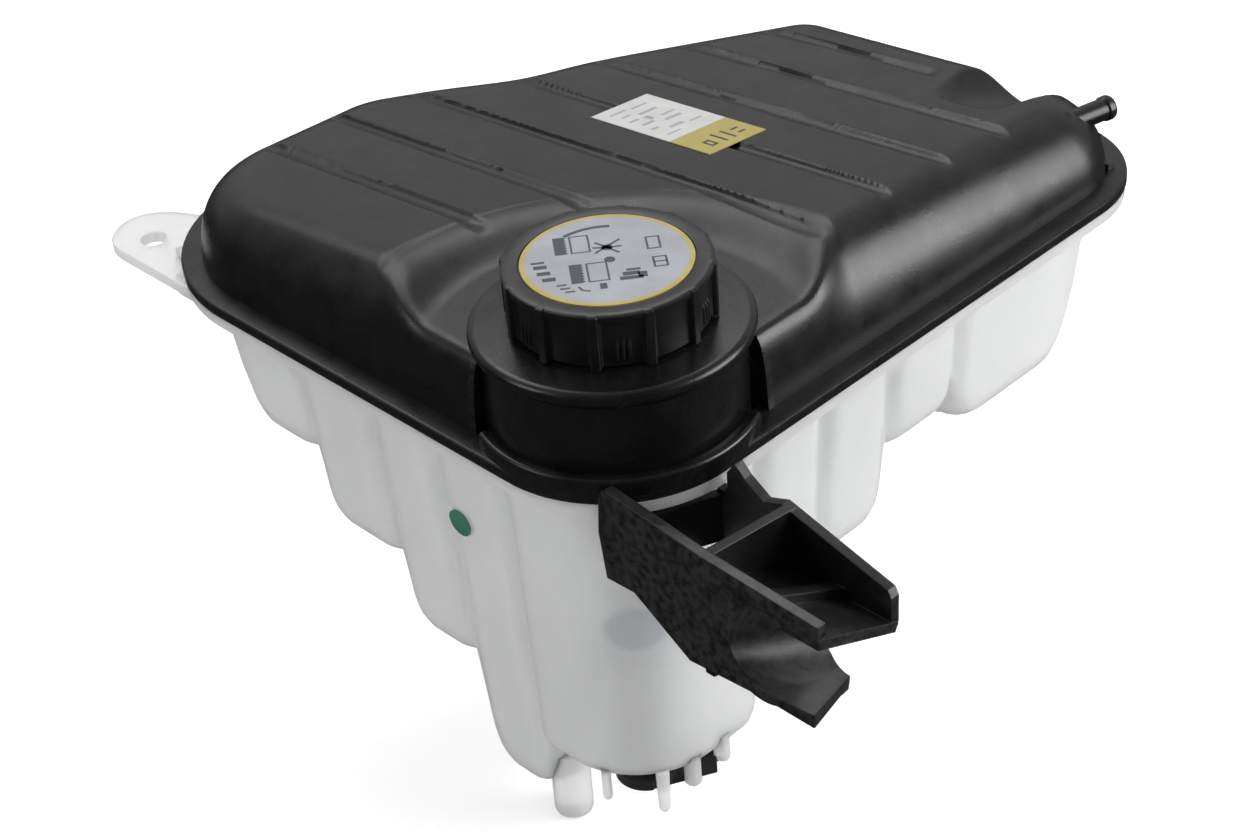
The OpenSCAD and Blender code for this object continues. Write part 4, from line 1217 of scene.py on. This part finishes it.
def aimed(right: np.ndarray, up: np.ndarray, back: np.ndarray, place: np.ndarray) -> Matrix:
    """Matrix of an object from its three axes and its place in metres."""
    m = np.eye(4)
    m[:3, 0], m[:3, 1], m[:3, 2], m[:3, 3] = right, up, back, place
    return Matrix(m.tolist())


@dataclass
class Studio:
    """Camera, floor, lamps and surroundings."""

    eye: tuple = (-376.2, -650.3, 420.0)
    elevation: float = 34.4
    azimuth: float = 48.2
    roll: float = -4.6
    floor_z: float = -148.6

    def camera(self) -> None:
        """Camera that looks along its elevation and azimuth, rolled about its line of sight."""
        el, az, ro = (math.radians(k) for k in (self.elevation, self.azimuth, self.roll))
        fwd = np.array([math.cos(el) * math.cos(az), math.cos(el) * math.sin(az), -math.sin(el)])
        right = np.array([math.sin(az), -math.cos(az), 0.0])
        up = np.cross(right, fwd)
        r = math.cos(ro) * right + math.sin(ro) * up
        u = -math.sin(ro) * right + math.cos(ro) * up
        data = bpy.data.cameras.new("photo_camera")
        data.sensor_width, data.lens = SENSOR_WIDTH, FOCAL_PIXELS / PHOTO_WIDTH * SENSOR_WIDTH
        data.clip_start, data.clip_end = 0.02, 50.0
        cam = linked("photo_camera", data)
        cam.matrix_world = aimed(r, u, -fwd, np.array(self.eye) * MM)
        bpy.context.scene.camera = cam

    def lamp(self, name: str, place: tuple, aim: tuple, size: tuple, watts: float) -> None:
        """Soft rectangular lamp at a place, turned to a point."""
        data = bpy.data.lights.new(name, "AREA")
        data.shape, data.size, data.size_y, data.energy = "RECTANGLE", size[0], size[1], watts
        back = np.array(place) - np.array(aim)
        back = back / np.linalg.norm(back)
        right = np.cross([0, 0, 1.0], back)
        right /= np.linalg.norm(right)
        linked(name, data).matrix_world = aimed(right, np.cross(back, right), back, place)

    def floor(self) -> None:
        """Wide pale floor, white to the camera where it isn't shaded."""
        mesh = bpy.data.meshes.new("studio_floor")
        z = self.floor_z * MM
        mesh.from_pydata([(-6, -6, z), (6, -6, z), (6, 6, z), (-6, 6, z)], [], [(0, 1, 2, 3)])
        mat, n, _ = blank_material("floor_white", (0.8, 0.8, 0.8))
        path = n.add("ShaderNodeLightPath")
        seen = n.math("MAXIMUM", path.outputs["Is Camera Ray"], path.outputs["Is Transmission Ray"])
        plain = n.mix(path.outputs["Is Glossy Ray"], (0.8, 0.8, 0.8, 1.0), (0.04, 0.04, 0.04, 1.0))
        base = n.add("ShaderNodeBsdfDiffuse", {"Color": n.mix(seen, plain, (0.98, 0.98, 0.98, 1.0))})
        glow = n.add("ShaderNodeEmission", {"Color": (1, 1, 1, 1), "Strength": n.math("MULTIPLY", seen, 0.2)})
        both = n.add("ShaderNodeAddShader", {0: base.outputs[0], 1: glow.outputs[0]})
        n.add("ShaderNodeOutputMaterial", {0: both.outputs[0]})
        mesh.materials.append(mat)
        linked("studio_floor", mesh)

    def world(self) -> None:
        """Plain surroundings: white to the camera, softer for everything else."""
        world = bpy.data.worlds.new("studio")
        bpy.context.scene.world = world
        world.use_nodes = True
        world.node_tree.nodes.clear()
        n = Nodes(world.node_tree)
        path = n.add("ShaderNodeLightPath")
        glossy = path.outputs["Is Glossy Ray"]
        heading = n.add("ShaderNodeTexCoord").outputs["Generated"]
        toward = n.add("ShaderNodeVectorMath", {0: heading, 1: (0.55, 0.62, 0.56)}, operation="DOT_PRODUCT")
        mirrored = n.ramp(toward.outputs["Value"], 0.2, 0.9, 0.05, 0.46)
        spread = n.math("ADD", n.math("MULTIPLY", glossy, mirrored),
                        n.math("MULTIPLY", n.math("SUBTRACT", 1.0, glossy), 0.72))
        strength = n.math("MAXIMUM", path.outputs["Is Camera Ray"], spread)
        back = n.add("ShaderNodeBackground", {"Color": (1, 1, 1, 1), "Strength": strength})
        n.add("ShaderNodeOutputWorld", {0: back.outputs[0]})

    def build(self) -> None:
        """Sets the whole studio."""
        self.camera()
        self.floor()
        self.world()
        self.lamp("top_box", (0.5, 0.7, 1.3), (0.1, -0.1, 0), (1.4, 0.7), 8)
        self.lamp("left_box", (-1.4, 0.5, 0.9), (0.0, -0.15, 0), (0.6, 1.0), 6)
        self.lamp("right_box", (0.95, -1.25, 0.4), (0.05, -0.15, 0), (0.9, 1.0), 20)
        bpy.context.scene.view_settings.view_transform = "Standard"


def main() -> None:
    """Builds every sub-assembly and the studio."""
    logging.basicConfig(level=logging.INFO, format="%(message)s")
    palette = Palette()
    upper = UpperShell()
    upper.build(palette, Outline())
    LowerShell().build(palette)
    PressureCap().build(palette)
    Marks().build(palette, upper)
    Fixtures().build(palette)
    Studio().build()


if __name__ == "__main__":
    main()
